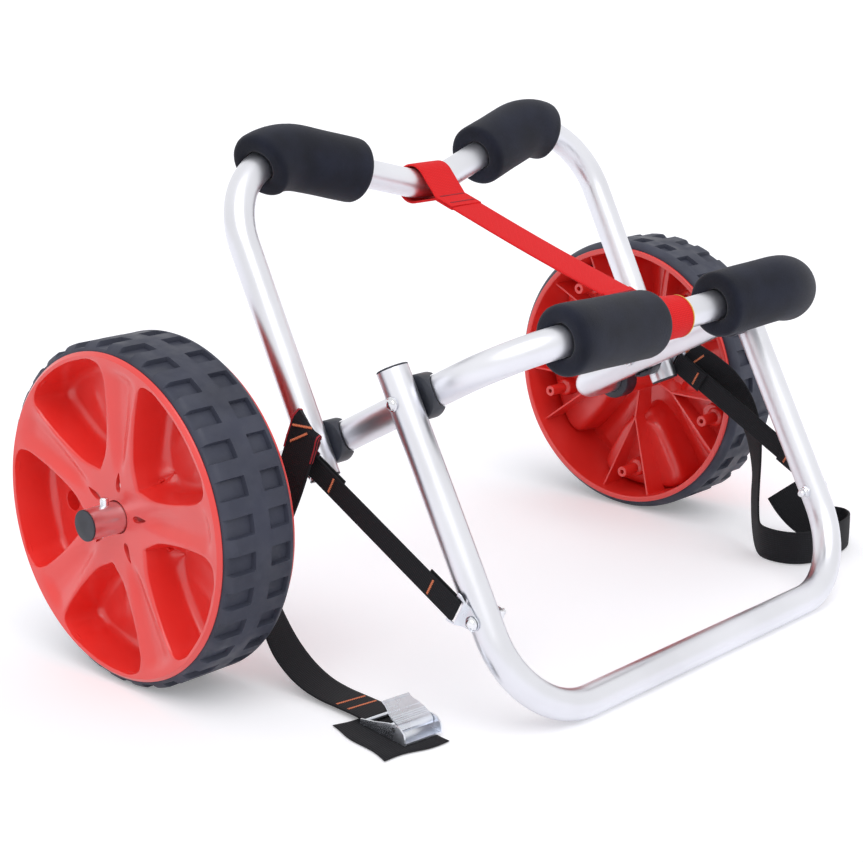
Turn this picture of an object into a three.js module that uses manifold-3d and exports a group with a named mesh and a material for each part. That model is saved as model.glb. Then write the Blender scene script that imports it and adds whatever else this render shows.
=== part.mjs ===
// A folding kayak cart: two bent-tube cradle frames, a kickstand, two moulded wheels, foam pads and straps.
// Millimetres, +Z up. X runs along the axle, the kickstand is towards -Y and the floor is z = 0.
import * as THREE from "three";
import { mergeVertices } from "three/addons/utils/BufferGeometryUtils.js";
import Module from "manifold-3d";

const wasm = await Module();
wasm.setup();

// Tube stock, the same for all three frames
const tubeRadius = 12.7;
const tubeWall = 1.6;
const tubeSides = 12;
const boreSides = 8;
const bendSteps = 5;
const dipSteps = 4;
const runningGap = 0.3;
const overrun = 2;

// Stance: where the legs, axle and pivots lie
const tyreRadius = 140;
const frontLegX = 198;
const outerLegX = 226.5;
const axleEndX = 387.5;
const frontLegAngle = 28.6;
const frontBarReach = 320;
const frontBarDip = 29;
const frontBendRadius = 60;
const frontDipRadius = 90;
const rearPivotReach = 100.5;
const rearLegAngle = 62.9;
const rearBarReach = 264;
const rearBarDip = 66;
const rearBendRadius = 70;
const rearDipRadius = 90;
const standPivotSetback = 105.3;
const standPivotReach = frontBarReach - standPivotSetback;
const standLegAngle = 61.6;
const standBendRadius = 75;
const legOverhang = 25.8;

// Tube end plugs
const plugFlange = 1.5;
const plugStem = 12;
const plugLip = 1;
const plugSides = 14;

// Snap buttons that keep the wheels on, and their leaf springs inside the axle tube
const buttonInset = 18.5;
const buttonRadius = 3.5;
const buttonHeight = 6.5;
const buttonDome = 1.8;
const buttonFlangeRadius = 4.6;
const buttonFlange = 1;
const buttonSides = 10;
const springWidth = 6;
const springThickness = 0.8;
const springLength = 30;
const springSteps = 6;

// Wheels, measured from the inner rim plane outwards
const wheelSetback = 98;
const wheelInnerX = axleEndX - wheelSetback;
const wheelWidth = 76;
const wheelSegments = 30;
const tyreThickness = 10;
const flangeSetback = 7;
const flangeRadius = tyreRadius - flangeSetback;
const flangeThickness = 3.5;
const faceFlangeThickness = 3.6;
const faceFlangeFall = 2.6;
const barrelRadius = tyreRadius - tyreThickness;
const barrelWall = 2.5;
const hubRadius = 19;
const hubLength = 68.5;
const plateThickness = 4;
const spokeCount = 5;
const leftSpokeAngle = 10;
const rightSpokeAngle = 0.7;
const pocketTipRadius = 40;
const pocketFloor = 40;
const pocketWall = 2.5;
const pocketReachShares = [0.03, 0.2, 0.6, 0.92, 1];
const pocketHalfAngles = [7, 20, 25.5, 25, 19];
const slotRadius = 30;
const slotLength = 12;
const slotWidth = 5;
const recessRadius = 8.5;
const recessPlace = 98;
const recessDepth = 10;
const recessPocket = 3;
const ribThickness = 2.4;
const ribInset = 24;
const ribForkRadius = 48;
const ribForkTurn = 13;
const bossSetback = 26.5;
const bossPlace = barrelRadius - bossSetback;
const bossRadius = 5.5;
const bossInset = 3;
const bossHoleRadius = 2.4;
const bossHoleDepth = 20;
const bossSides = 8;

// Tyres: a rubber band between the rim flanges, with two rows of pockets between these places along the wheel
const treadCount = 30;
const treadPhase = 2.4;
const treadDepth = 4;
const treadLength = 15;
const treadRows = [
  [11.5, 30.5],
  [46, 71.5],
];
const shoulder = 6.5;

// Axle spacers between the frame's bends and the wheels
const axleSpacerLength = 17;
const axleSpacerRadius = 20;
const axleSpacerChamfer = 2;
const ringSides = 18;

// Saddle spacers between the outer legs and the front frame's legs
const saddleRadius = 18;
const saddleSides = 16;

// Bolts and nuts
const boltRadius = 3;
const boltHeadRadius = 5.8;
const boltHeadHeight = 4;
const boltHeadEdge = 1.4;
const boltCrownRadius = 4;
const boltSides = 10;
const boltTail = 3.5;
const nutRadius = 5;
const nutHeight = 5;
const nutSides = 6;
const strapBoltRise = 87.5;

// Foam pads on the crossbars
const padRadius = 28;
const frontPadLength = 125;
const rearPadLength = 111;
const rearLeftPadStart = 81;
const rearRightPadStart = 77;
const frontLeftPadStart = 22;
const frontRightPadStart = 66;

// Red span of webbing between the crossbars, with a sewn loop round each
const redWidth = 38;
const redThickness = 2;
const redShift = 5;
const redLoopSlack = 2.4;
const redLoopTip = 27;
const redLoopReach = 52;
const loopSteps = 12;

// Stays from the rear frame's pivots to the kickstand, on a triangular bracket at each end
const stayWidth = 20;
const stayThickness = 1.6;
const stayTail = 34;
const turnSteps = 4;
const bracketReach = 19;
const bracketWidth = 27;
const bracketThickness = 1.2;
const bracketBar = 3;
const bracketSlot = 4.5;
const bracketSlotMargin = 0.8;
const bracketNose = 6.5;
const bracketJog = 2.4;
const bracketJogStart = 7;
const bracketJogEnd = 12;
const noseSteps = 8;

// Hull straps: their webbing, and the points of their routes, each with the direction of the width there
const hullWidth = 32;
const hullThickness = 2;
const leftHullRoute = [
  [[-246.4, -90, 190], [0, 0.8, 0.6]],
  [[-246.6, -99, 202], [0, 0.8, 0.6]],
  [[-248, -106, 211], [0.1, 0.8, 0.6]],
  [[-250.6, -108.5, 214.5], [0.2, 0.8, 0.6]],
  [[-253.6, -107.5, 211.5], [0.1, 0.86, 0.5]],
  [[-255.4, -104.5, 200], [0, 0.95, 0.3]],
  [[-257.5, -100, 184], [0, 0.96, 0.27]],
  [[-260, -94, 165], [0, 0.95, 0.3]],
  [[-262.5, -87, 145], [0.05, 0.95, 0.3]],
  [[-264.5, -80, 124], [0.2, 0.93, 0.25]],
  [[-266, -75, 102], [0.45, 0.87, 0.18]],
  [[-266.8, -73.5, 82], [0.7, 0.7, 0.1]],
  [[-267, -76, 63], [0.88, 0.47, 0.08]],
  [[-267, -83, 45], [0.96, 0.25, 0.05]],
  [[-267, -95, 29], [0.99, 0.12, 0.05]],
  [[-266.5, -111, 16.5], [1, 0.05, 0.02]],
  [[-266, -129, 8.5], [1, 0, 0]],
  [[-265.6, -148, 5], [1, -0.03, 0]],
  [[-265.8, -167, 4.4], [1, -0.06, 0]],
  [[-266.6, -184, 4.4], [1, -0.1, 0]],
  [[-268, -198, 4.5], [1, -0.11, 0]],
  [[-268.5, -202.2, 4.4], [1, -0.112, 0]],
];
const rightHullRoute = [
  [[246.4, -92, 190], [0, -0.1, 1]],
  [[246.8, -104, 188.5], [0, -0.2, 0.98]],
  [[249.4, -118, 184], [0, -0.4, 0.92]],
  [[253.5, -134, 176], [0, -0.55, 0.83]],
  [[257.5, -150, 165], [0, -0.7, 0.7]],
  [[261.8, -163, 150], [-0.1, -0.85, 0.5]],
  [[265.8, -172, 132], [-0.3, -0.88, 0.3]],
  [[269, -177, 112], [-0.5, -0.85, 0.15]],
  [[271, -179, 92], [-0.62, -0.78, 0.05]],
  [[272, -180, 72], [-0.7, -0.71, 0]],
  [[272, -180, 54], [-0.7, -0.71, 0]],
  [[270.6, -181.5, 41], [-0.68, -0.69, 0.25]],
  [[266.6, -185.5, 28.5], [-0.5, -0.5, 0.7]],
  [[260.4, -192, 20], [-0.25, -0.25, 0.93]],
  [[254.4, -199.5, 17.2], [-0.05, -0.05, 1]],
  [[250.6, -208, 16.8], [0, 0, 1]],
  [[249.4, -219, 16.8], [0, 0, 1]],
  [[251.6, -230, 16.8], [0, 0, 1]],
  [[257.6, -239.5, 16.8], [0, 0, 1]],
  [[267, -246, 16.8], [0, 0, 1]],
  [[279, -249.5, 16.8], [0, 0, 1]],
  [[293, -251, 16.8], [0, 0, 1]],
  [[308, -251, 16.8], [0, 0, 1]],
  [[323, -249.6, 16.8], [0, 0, 1]],
  [[337, -246, 16.8], [0, 0, 1]],
  [[348, -239.5, 16.8], [0, 0, 1]],
  [[353.6, -230, 16.8], [0, 0, 1]],
  [[351.6, -220, 16.8], [0, 0, 1]],
  [[343.6, -213.4, 16.9], [0, 0, 1]],
  [[332.4, -210, 18.6], [0.12, 0, 0.99]],
  [[321.6, -207.4, 23.4], [0.3, -0.06, 0.95]],
  [[312.6, -203.4, 31.4], [0.48, -0.14, 0.86]],
  [[306, -197.4, 42], [0.6, -0.28, 0.74]],
  [[302, -190.4, 54.4], [0.62, -0.39, 0.67]],
];

// Backing patch and cam buckle on the left hull strap, which lie on the floor
const floorGap = 0.2;
const patchThickness = 1.6;
const patchLength = 74;
const patchWidth = 58;
const patchX = -282;
const patchY = -226;
const patchTurn = 12;
const buckleX = -268.4;
const buckleStartY = -201;
const buckleTurn = 6.4;
const buckleLength = 53;
const buckleWidth = 37;
const buckleWall = 1.4;
const buckleHeight = 13;
const buckleRearHeight = 4.6;
const buckleBar = 3;
const buckleBaseStart = 17;
const buckleSideShares = [
  [0, 0.32],
  [0.3, 0.56],
  [0.64, 0.92],
  [0.78, 1],
  [0.9, 0.92],
  [0.98, 0.66],
  [1, 0.4],
];
const camPinReach = 40;
const camPinHeight = 8.4;
const camPinRadius = 2;
const camRadius = 5;
const camPlate = 1.8;
const camTabReach = 22;
const camTabRise = 12;
const camSides = 12;
const camSpringRadius = 3.6;
const camSpringWidth = 3;

const degrees = THREE.MathUtils.degToRad;
const alongX = new THREE.Vector3(1, 0, 0);
const alongY = new THREE.Vector3(0, 1, 0);
const upwards = new THREE.Vector3(0, 0, 1);
const leftSide = -1;
const rightSide = 1;

// Directions of the three pairs of legs in the YZ plane
const frontUp = new THREE.Vector3(0, -Math.cos(degrees(frontLegAngle)), Math.sin(degrees(frontLegAngle)));
const rearUp = new THREE.Vector3(0, Math.cos(degrees(rearLegAngle)), Math.sin(degrees(rearLegAngle)));
const standDown = new THREE.Vector3(0, -Math.cos(degrees(standLegAngle)), -Math.sin(degrees(standLegAngle)));

// Points in the YZ plane that the pieces share
const axle = new THREE.Vector3(0, 0, tyreRadius);
const rearPivot = axle.clone().addScaledVector(frontUp, rearPivotReach);
const standPivot = axle.clone().addScaledVector(frontUp, standPivotReach);
const standReach = (standPivot.z - tubeRadius) / -standDown.z;
const strapBolt = standPivot.clone().addScaledVector(standDown, standReach - strapBoltRise);
const frontBarMiddle = axle.clone().addScaledVector(frontUp, frontBarReach - frontBarDip);
const rearBarMiddle = rearPivot.clone().addScaledVector(rearUp, rearBarReach - rearBarDip);

// Radii that follow from the tube: its bore, and the least bore that clears its corners
const boreRadius = tubeRadius - tubeWall;
const tubeCorner = tubeRadius / Math.cos(Math.PI / tubeSides);
const sleeveRadius = tubeCorner + runningGap;

function at(x, point) {
  return new THREE.Vector3(x, point.y, point.z);
}

// A path of stations, each with a heading and a width direction, that ExtrudeGeometry can follow.
class Route extends THREE.Curve {
  constructor(points, headings, widths) {
    super();
    this.points = points;
    this.headings = headings;
    this.widths = widths.map((width, i) => {
      const along = headings[i];
      return width.clone().addScaledVector(along, -width.dot(along)).normalize();
    });
  }

  getPointAt(share) {
    return this.points[Math.round(share * (this.points.length - 1))].clone();
  }

  computeFrenetFrames() {
    return {
      tangents: this.headings,
      normals: this.widths,
      binormals: this.headings.map((along, i) => along.clone().cross(this.widths[i])),
    };
  }
}

// Straight runs between corners, joined by bends of the given radii, all in one plane.
function bentRoute(corners, radii, steps, planeNormal) {
  const points = [corners[0].clone()];
  const headings = [corners[1].clone().sub(corners[0]).normalize()];
  for (let i = 1; i < corners.length - 1; i++) {
    const along = corners[i].clone().sub(corners[i - 1]).normalize();
    const onward = corners[i + 1].clone().sub(corners[i]).normalize();
    const turn = along.angleTo(onward);
    const axis = along.clone().cross(onward).normalize();
    const start = corners[i].clone().addScaledVector(along, -radii[i - 1] * Math.tan(turn / 2));
    const centre = start.clone().addScaledVector(axis.clone().cross(along), radii[i - 1]);
    for (let step = 0; step <= steps[i - 1]; step++) {
      const angle = (turn * step) / steps[i - 1];
      points.push(start.clone().sub(centre).applyAxisAngle(axis, angle).add(centre));
      headings.push(along.clone().applyAxisAngle(axis, angle));
    }
  }
  points.push(corners.at(-1).clone());
  headings.push(headings.at(-1).clone());
  return new Route(points, headings, points.map(() => planeNormal));
}

// A route through points chosen one by one, each with its own direction of width.
function freeRoute(points, widths) {
  const headings = points.map((_, i) => {
    const before = points[Math.max(i - 1, 0)];
    const after = points[Math.min(i + 1, points.length - 1)];
    return after.clone().sub(before).normalize();
  });
  return new Route(points, headings, widths);
}

function lengthsAlong(route) {
  let length = 0;
  return route.points.map((point, i) => {
    length += i > 0 ? point.distanceTo(route.points[i - 1]) : 0;
    return length;
  });
}

// The stretch of a flat route between two lengths along it, cut square at both ends.
function stretch(route, from, to) {
  const lengths = lengthsAlong(route);
  const cutPoint = (length) => {
    const after = lengths.findIndex((passed) => passed > length);
    const share = (length - lengths[after - 1]) / (lengths[after] - lengths[after - 1]);
    return route.points[after - 1].clone().lerp(route.points[after], share);
  };
  const inner = route.points.map((_, i) => i).filter((i) => lengths[i] > from && lengths[i] < to);
  const points = [cutPoint(from), ...inner.map((i) => route.points[i]), cutPoint(to)];
  const first = points[1].clone().sub(points[0]).normalize();
  const last = points.at(-1).clone().sub(points.at(-2)).normalize();
  const headings = [first, ...inner.map((i) => route.headings[i]), last];
  return new Route(points, headings, points.map(() => route.widths[0]));
}

// A regular polygon whose flats lie at the given radius, one of them facing the phase angle.
function polygon(radius, sides, phase) {
  const step = (2 * Math.PI) / sides;
  const corner = radius / Math.cos(step / 2);
  return Array.from({ length: sides }, (_, i) => {
    const angle = phase + (i + 1 / 2) * step;
    return new THREE.Vector2(corner * Math.cos(angle), corner * Math.sin(angle));
  });
}

function ringSection(radius, sides, hole, holeSides, phase) {
  const section = new THREE.Shape(polygon(radius, sides, phase));
  section.holes.push(new THREE.Path(polygon(hole, holeSides, phase).reverse()));
  return section;
}

function bandSection(width, thickness) {
  return new THREE.Shape([
    new THREE.Vector2(-width / 2, -thickness / 2),
    new THREE.Vector2(width / 2, -thickness / 2),
    new THREE.Vector2(width / 2, thickness / 2),
    new THREE.Vector2(-width / 2, thickness / 2),
  ]);
}

function sweep(section, route) {
  return new THREE.ExtrudeGeometry(section, {
    steps: route.points.length - 1,
    extrudePath: route,
    bevelEnabled: false,
  });
}

// A straight rod between two points, with its flats at the radius.
function rod(radius, sides, start, end) {
  const along = end.clone().sub(start).normalize();
  const across = Math.abs(along.z) < Math.abs(along.x) ? upwards : alongX;
  const route = new Route([start, end], [along, along], [across, across]);
  return sweep(new THREE.Shape(polygon(radius, sides, 0)), route);
}

// A flat outline in the YZ plane, with or without holes, extruded along X from one place to another.
function prism(outline, fromX, toX) {
  const geometry = new THREE.ExtrudeGeometry(new THREE.Shape(outline), {
    depth: toX - fromX,
    bevelEnabled: false,
  });
  return geometry.applyMatrix4(new THREE.Matrix4().makeBasis(alongY, upwards, alongX)).translate(fromX, 0, 0);
}

// A turned solid about the X axis; the profile holds pairs of radius and place along X.
function turned(profile, sides) {
  const points = profile.map(([radius, x]) => new THREE.Vector2(radius, x));
  return new THREE.LatheGeometry(points, sides).rotateZ(-Math.PI / 2);
}

function closedProfile(profile) {
  return [...profile, profile[0]];
}

// Geometry to a manifold-3d solid and back
function solidOf(geometry) {
  const bare = geometry.clone();
  bare.deleteAttribute("normal");
  bare.deleteAttribute("uv");
  const merged = mergeVertices(bare);
  const corners = merged.index.array;
  const kept = [];
  for (let i = 0; i < corners.length; i += 3) {
    const [a, b, c] = corners.slice(i, i + 3);
    if (a !== b && b !== c && c !== a) kept.push(a, b, c);
  }
  return new wasm.Manifold(
    new wasm.Mesh({
      numProp: 3,
      vertProperties: new Float32Array(merged.attributes.position.array),
      triVerts: new Uint32Array(kept),
    }),
  );
}

function geometryOf(solid) {
  const { vertProperties, triVerts, numProp } = solid.getMesh();
  const places = new Float32Array(triVerts.length * 3);
  triVerts.forEach((vertex, i) => {
    places.set(vertProperties.subarray(vertex * numProp, vertex * numProp + 3), i * 3);
  });
  const geometry = new THREE.BufferGeometry();
  geometry.setAttribute("position", new THREE.BufferAttribute(places, 3));
  geometry.computeVertexNormals();
  return geometry;
}

function cut(geometry, cutters) {
  return geometryOf(cutters.reduce((rest, cutter) => rest.subtract(solidOf(cutter)), solidOf(geometry)));
}

function joined(geometries) {
  return geometryOf(geometries.map(solidOf).reduce((sum, next) => sum.add(next)));
}

function within(geometry, bound) {
  return geometryOf(solidOf(geometry).intersect(solidOf(bound)));
}

// Finishes
function finish(color, roughness, metalness) {
  return new THREE.MeshStandardMaterial({ color, roughness, metalness });
}
const aluminium = finish(0xc9cbd2, 0.32, 1);
const redPlastic = finish(0xd9231c, 0.3, 0);
const tyreRubber = finish(0x2c2f38, 0.75, 0);
const blackPlastic = finish(0x1d1f27, 0.5, 0);
const foam = finish(0x22242f, 0.95, 0);
const redWebbing = finish(0xcf1a1c, 0.8, 0);
const blackWebbing = finish(0x15151b, 0.85, 0);
const zinc = finish(0xb9bfc6, 0.3, 1);
const chrome = finish(0xd5d7db, 0.15, 1);

function piece(name, geometry, material) {
  const mesh = new THREE.Mesh(geometry, material);
  mesh.name = name;
  return mesh;
}

// Places a piece built along +X at a point, turned about the Z axis to face the given side.
function facing(side, mesh, x, point) {
  mesh.position.set(side * x, point.y, point.z);
  mesh.rotation.z = side < 0 ? Math.PI : 0;
  return mesh;
}

// Front frame: one tube from axle end to axle end, bent out at the axle and over at the crossbar.
function frontRoute() {
  const corner = axle.clone().addScaledVector(frontUp, frontBarReach);
  const corners = [
    at(-axleEndX, axle),
    at(-frontLegX, axle),
    at(-frontLegX, corner),
    frontBarMiddle,
    at(frontLegX, corner),
    at(frontLegX, axle),
    at(axleEndX, axle),
  ];
  const radii = [frontBendRadius, frontBendRadius, frontDipRadius, frontBendRadius, frontBendRadius];
  const steps = [bendSteps, bendSteps, dipSteps, bendSteps, bendSteps];
  return bentRoute(corners, radii, steps, alongX.clone().cross(frontUp));
}

// Rear frame: a U with a crossbar bent to a shallow V.
function rearRoute() {
  const foot = rearPivot.clone().addScaledVector(rearUp, -legOverhang);
  const corner = rearPivot.clone().addScaledVector(rearUp, rearBarReach);
  const corners = [
    at(-outerLegX, foot),
    at(-outerLegX, corner),
    rearBarMiddle,
    at(outerLegX, corner),
    at(outerLegX, foot),
  ];
  const radii = [rearBendRadius, rearDipRadius, rearBendRadius];
  return bentRoute(corners, radii, [bendSteps, dipSteps, bendSteps], alongX.clone().cross(rearUp));
}

// Kickstand: a U whose bar lies on the floor.
function standRoute() {
  const top = standPivot.clone().addScaledVector(standDown, -legOverhang);
  const bar = standPivot.clone().addScaledVector(standDown, standReach);
  const corners = [at(-outerLegX, top), at(-outerLegX, bar), at(outerLegX, bar), at(outerLegX, top)];
  const radii = [standBendRadius, standBendRadius];
  return bentRoute(corners, radii, [bendSteps, bendSteps], alongX.clone().cross(standDown));
}

const frontPath = frontRoute();
const rearPath = rearRoute();
const standPath = standRoute();

// The section's turn that makes one flat of the kickstand's bar face the floor.
function floorPhase(route) {
  const middle = Math.floor(route.points.length / 2);
  const across = route.headings[middle].clone().cross(route.widths[middle]);
  return Math.atan2(-across.z, -route.widths[middle].z);
}

function tubeGeometry(route, phase) {
  return sweep(ringSection(tubeRadius, tubeSides, boreRadius, boreSides, phase), route);
}

// Holes along X through both legs, for one bolt on each side.
function boltHoles(legX, point) {
  const half = tubeRadius + overrun;
  return [leftSide, rightSide].map((side) =>
    rod(boltRadius + runningGap, boltSides, at(side * legX - half, point), at(side * legX + half, point)),
  );
}

function buttonHoles() {
  return [leftSide, rightSide].map((side) => {
    const start = at(side * (axleEndX - buttonInset), axle);
    const end = start.clone().addScaledVector(upwards, tubeRadius + overrun);
    return rod(buttonRadius + runningGap, buttonSides, start, end);
  });
}

function frontFrameTube() {
  const holes = [...boltHoles(frontLegX, rearPivot), ...boltHoles(frontLegX, standPivot), ...buttonHoles()];
  return piece("front_frame_tube", cut(tubeGeometry(frontPath, 0), holes), aluminium);
}

function rearFrameTube() {
  return piece("rear_frame_tube", cut(tubeGeometry(rearPath, 0), boltHoles(outerLegX, rearPivot)), aluminium);
}

function kickstandTube() {
  const holes = [...boltHoles(outerLegX, standPivot), ...boltHoles(outerLegX, strapBolt)];
  return piece("kickstand_tube", cut(tubeGeometry(standPath, floorPhase(standPath)), holes), aluminium);
}

// A plug for an open tube end: a stem inside the bore and a thin flange outside, along +X.
function plugGeometry() {
  const stem = boreRadius - runningGap;
  return turned(
    [
      [0, -plugStem],
      [stem - plugLip, -plugStem],
      [stem, plugLip - plugStem],
      [stem, runningGap],
      [tubeRadius, runningGap],
      [tubeRadius, plugFlange - plugLip / 2],
      [tubeRadius - plugLip, plugFlange],
      [0, plugFlange],
    ],
    plugSides,
  );
}

function axlePlug(name, side) {
  return facing(side, piece(name, plugGeometry(), blackPlastic), axleEndX, axle);
}

// A plug in the open end of a leg, turned to face outwards along it.
function legPlug(name, side, pivot, outwards) {
  const mesh = piece(name, plugGeometry(), blackPlastic);
  mesh.position.copy(at(side * outerLegX, pivot.clone().addScaledVector(outwards, legOverhang)));
  mesh.quaternion.setFromUnitVectors(alongX, outwards);
  return mesh;
}

// Height above the axle's middle of the top of the button's flange, which the round bore stops.
const buttonSeat = Math.sqrt(boreRadius ** 2 - buttonFlangeRadius ** 2) - runningGap;

function snapButton(name, side) {
  const top = tubeRadius + buttonHeight;
  const profile = [
    [0, buttonSeat - buttonFlange],
    [buttonFlangeRadius, buttonSeat - buttonFlange],
    [buttonFlangeRadius, buttonSeat],
    [buttonRadius, buttonSeat],
    [buttonRadius, top - buttonDome],
    [buttonRadius - buttonDome / 2, top - buttonDome / 3],
    [buttonRadius - buttonDome, top],
    [0, top],
  ];
  const geometry = turned(profile, buttonSides).rotateY(-Math.PI / 2);
  return facing(side, piece(name, geometry, chrome), axleEndX - buttonInset, axle);
}

// The leaf spring under a snap button: a hairpin that presses it up from the floor of the bore.
function buttonSpring(name, side) {
  const top = buttonSeat - buttonFlange - runningGap - springThickness / 2;
  const floor = -Math.sqrt(boreRadius ** 2 - (springWidth / 2) ** 2);
  const bottom = floor + runningGap + springThickness / 2;
  const radius = (top - bottom) / 2;
  const points = [new THREE.Vector3(buttonFlangeRadius, 0, top)];
  for (let i = 0; i <= springSteps; i++) {
    const angle = (Math.PI * i) / springSteps;
    const x = radius - springLength - radius * Math.sin(angle);
    points.push(new THREE.Vector3(x, 0, bottom + radius + radius * Math.cos(angle)));
  }
  points.push(new THREE.Vector3(buttonFlangeRadius, 0, bottom));
  const route = freeRoute(points, points.map(() => alongY));
  const geometry = sweep(bandSection(springWidth, springThickness), route);
  return facing(side, piece(name, geometry, zinc), axleEndX - buttonInset, axle);
}

// A black ring that keeps the wheel off the frame's bend.
function axleSpacer(name, side) {
  const bore = sleeveRadius / Math.cos(Math.PI / ringSides);
  const profile = [
    [bore, -axleSpacerLength],
    [axleSpacerRadius - axleSpacerChamfer, -axleSpacerLength],
    [axleSpacerRadius, axleSpacerChamfer - axleSpacerLength],
    [axleSpacerRadius, 0],
    [bore, 0],
  ];
  const mesh = piece(name, turned(closedProfile(profile), ringSides), blackPlastic);
  return facing(side, mesh, wheelInnerX - runningGap, axle);
}

function polar(radius, angle) {
  return new THREE.Vector2(radius * Math.sin(angle), radius * Math.cos(angle));
}

function wheelRod(radius, place, fromX, toX) {
  const start = new THREE.Vector3(fromX, place.x, place.y);
  return rod(radius, bossSides, start, start.clone().setX(toX));
}

// The outline of one pocket between two spokes, grown by a wall's thickness, about its middle angle.
function pocketOutline(middle, grow) {
  const tip = pocketTipRadius - grow;
  const depth = barrelRadius - barrelWall + grow / 2 - tip;
  const corner = (i, side) => {
    const radius = tip + pocketReachShares[i] * depth;
    const halfAngle = degrees(pocketHalfAngles[i]);
    return polar(radius, middle + side * (halfAngle + grow / radius));
  };
  const levels = pocketReachShares.map((_, i) => i);
  const upper = polar(tip + depth, middle);
  return [...levels.map((i) => corner(i, -1)), upper, ...levels.reverse().map((i) => corner(i, 1))];
}

function wheelBody() {
  const bore = sleeveRadius / Math.cos(Math.PI / wheelSegments);
  const barrelInner = barrelRadius - barrelWall;
  const profile = [
    [bore, 0],
    [hubRadius, 0],
    [hubRadius, hubLength - plateThickness],
    [barrelInner, wheelWidth - plateThickness],
    [barrelInner, 0],
    [flangeRadius, 0],
    [flangeRadius, flangeThickness],
    [barrelRadius, flangeThickness],
    [barrelRadius, wheelWidth - faceFlangeThickness],
    [flangeRadius, wheelWidth - faceFlangeThickness],
    [flangeRadius, wheelWidth - faceFlangeFall],
    [barrelRadius, wheelWidth],
    [barrelInner, wheelWidth],
    [hubRadius, hubLength],
    [bore, hubLength],
  ];
  return turned(closedProfile(profile), wheelSegments);
}

// A straight rib on the wheel's inner side, between two polar places.
function wheelRib(start, end, toX) {
  const across = end.clone().sub(start).normalize().rotateAround(new THREE.Vector2(), Math.PI / 2);
  const side = across.multiplyScalar(ribThickness / 2);
  return prism(
    [start.clone().sub(side), end.clone().sub(side), end.clone().add(side), start.clone().add(side)],
    ribInset,
    toX,
  );
}

// The moulded wheel: flanged rim, dished face with five pockets, forked ribs and screw bosses behind.
function wheelGeometry(spokeAngle) {
  const turn = (2 * Math.PI) / spokeCount;
  const body = [wheelBody()];
  const hollows = [];
  const floorUnder = pocketFloor - pocketWall / 2;
  for (let i = 0; i < spokeCount; i++) {
    const spoke = degrees(spokeAngle) + i * turn;
    const middle = spoke + turn / 2;
    const fork = degrees(ribForkTurn);
    const rim = barrelRadius - barrelWall / 2;
    const hubSide = hubRadius - plateThickness / 2;
    body.push(prism(pocketOutline(middle, pocketWall), pocketFloor - pocketWall, hubLength));
    body.push(wheelRib(polar(hubSide, middle), polar(ribForkRadius, middle), floorUnder));
    body.push(wheelRib(polar(ribForkRadius, middle), polar(rim, middle + fork), floorUnder));
    body.push(wheelRib(polar(ribForkRadius, middle), polar(rim, middle - fork), floorUnder));
    body.push(wheelRod(bossRadius, polar(bossPlace, middle), bossInset, floorUnder));
    hollows.push(wheelRod(bossHoleRadius, polar(bossPlace, middle), -overrun, bossInset + bossHoleDepth));
    hollows.push(prism(pocketOutline(middle, 0), pocketFloor, wheelWidth + overrun));
    hollows.push(wheelSlot(spoke));
  }
  const recess = polar(recessPlace, degrees(spokeAngle) + (recessPocket + 1 / 2) * turn);
  const recessFloor = pocketFloor - recessDepth;
  body.push(wheelRod(recessRadius + pocketWall, recess, recessFloor - pocketWall, floorUnder));
  hollows.push(wheelRod(recessRadius, recess, recessFloor, wheelWidth));
  return cut(joined(body), hollows);
}

// A slot through the face plate at the root of a spoke.
function wheelSlot(spoke) {
  const middle = polar(slotRadius, spoke);
  const corners = bandSection(slotWidth, slotLength).getPoints();
  const outline = corners.map((corner) => corner.rotateAround(new THREE.Vector2(), -spoke).add(middle));
  return prism(outline, hubLength - plateThickness, wheelWidth);
}

function wheel(name, side, spokeAngle) {
  return facing(side, piece(name, wheelGeometry(spokeAngle), redPlastic), wheelInnerX, axle);
}

function tyre(name, side) {
  const inner = (barrelRadius + runningGap) / Math.cos(Math.PI / wheelSegments);
  const low = flangeThickness + runningGap;
  const high = wheelWidth - faceFlangeThickness - runningGap;
  const profile = [
    [inner, low],
    [tyreRadius - shoulder, low],
    [tyreRadius, low + shoulder],
    [tyreRadius, high - shoulder],
    [tyreRadius - shoulder, high],
    [inner, high],
  ];
  const pitch = (2 * Math.PI) / treadCount;
  const notches = [];
  for (let i = 0; i < treadCount; i++) {
    for (const [start, end] of treadRows) {
      const notch = new THREE.BoxGeometry(end - start, treadLength, 2 * treadDepth);
      const middle = (start + end) / 2;
      notches.push(notch.translate(middle, 0, tyreRadius).rotateX(degrees(treadPhase) + pitch * i));
    }
  }
  const geometry = cut(turned(closedProfile(profile), wheelSegments), notches);
  return facing(side, piece(name, geometry, tyreRubber), wheelInnerX, axle);
}

// A saddle spacer: flat against the outer leg, hollowed to the front leg, bored for its bolt.
function saddleSpacer(name, side, pivot) {
  const outer = outerLegX - tubeRadius - runningGap;
  const body = rod(saddleRadius, saddleSides, at(side * frontLegX, pivot), at(side * outer, pivot));
  const leg = at(side * frontLegX, pivot);
  const reach = saddleRadius + overrun;
  const channel = rod(
    sleeveRadius,
    saddleSides,
    leg.clone().addScaledVector(frontUp, -reach),
    leg.clone().addScaledVector(frontUp, reach),
  );
  const hole = rod(boltRadius + runningGap, boltSides, leg, at(side * (outer + overrun), pivot));
  return piece(name, cut(body, [channel, hole]), blackPlastic);
}

// Faces that the bolts clamp, from the middle plane outwards
const frontLegInner = frontLegX - tubeRadius - runningGap;
const outerLegInner = outerLegX - tubeRadius - runningGap;
const outerLegOuter = outerLegX + tubeRadius + runningGap;
const bracketOuter = outerLegOuter + bracketThickness + runningGap;

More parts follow.
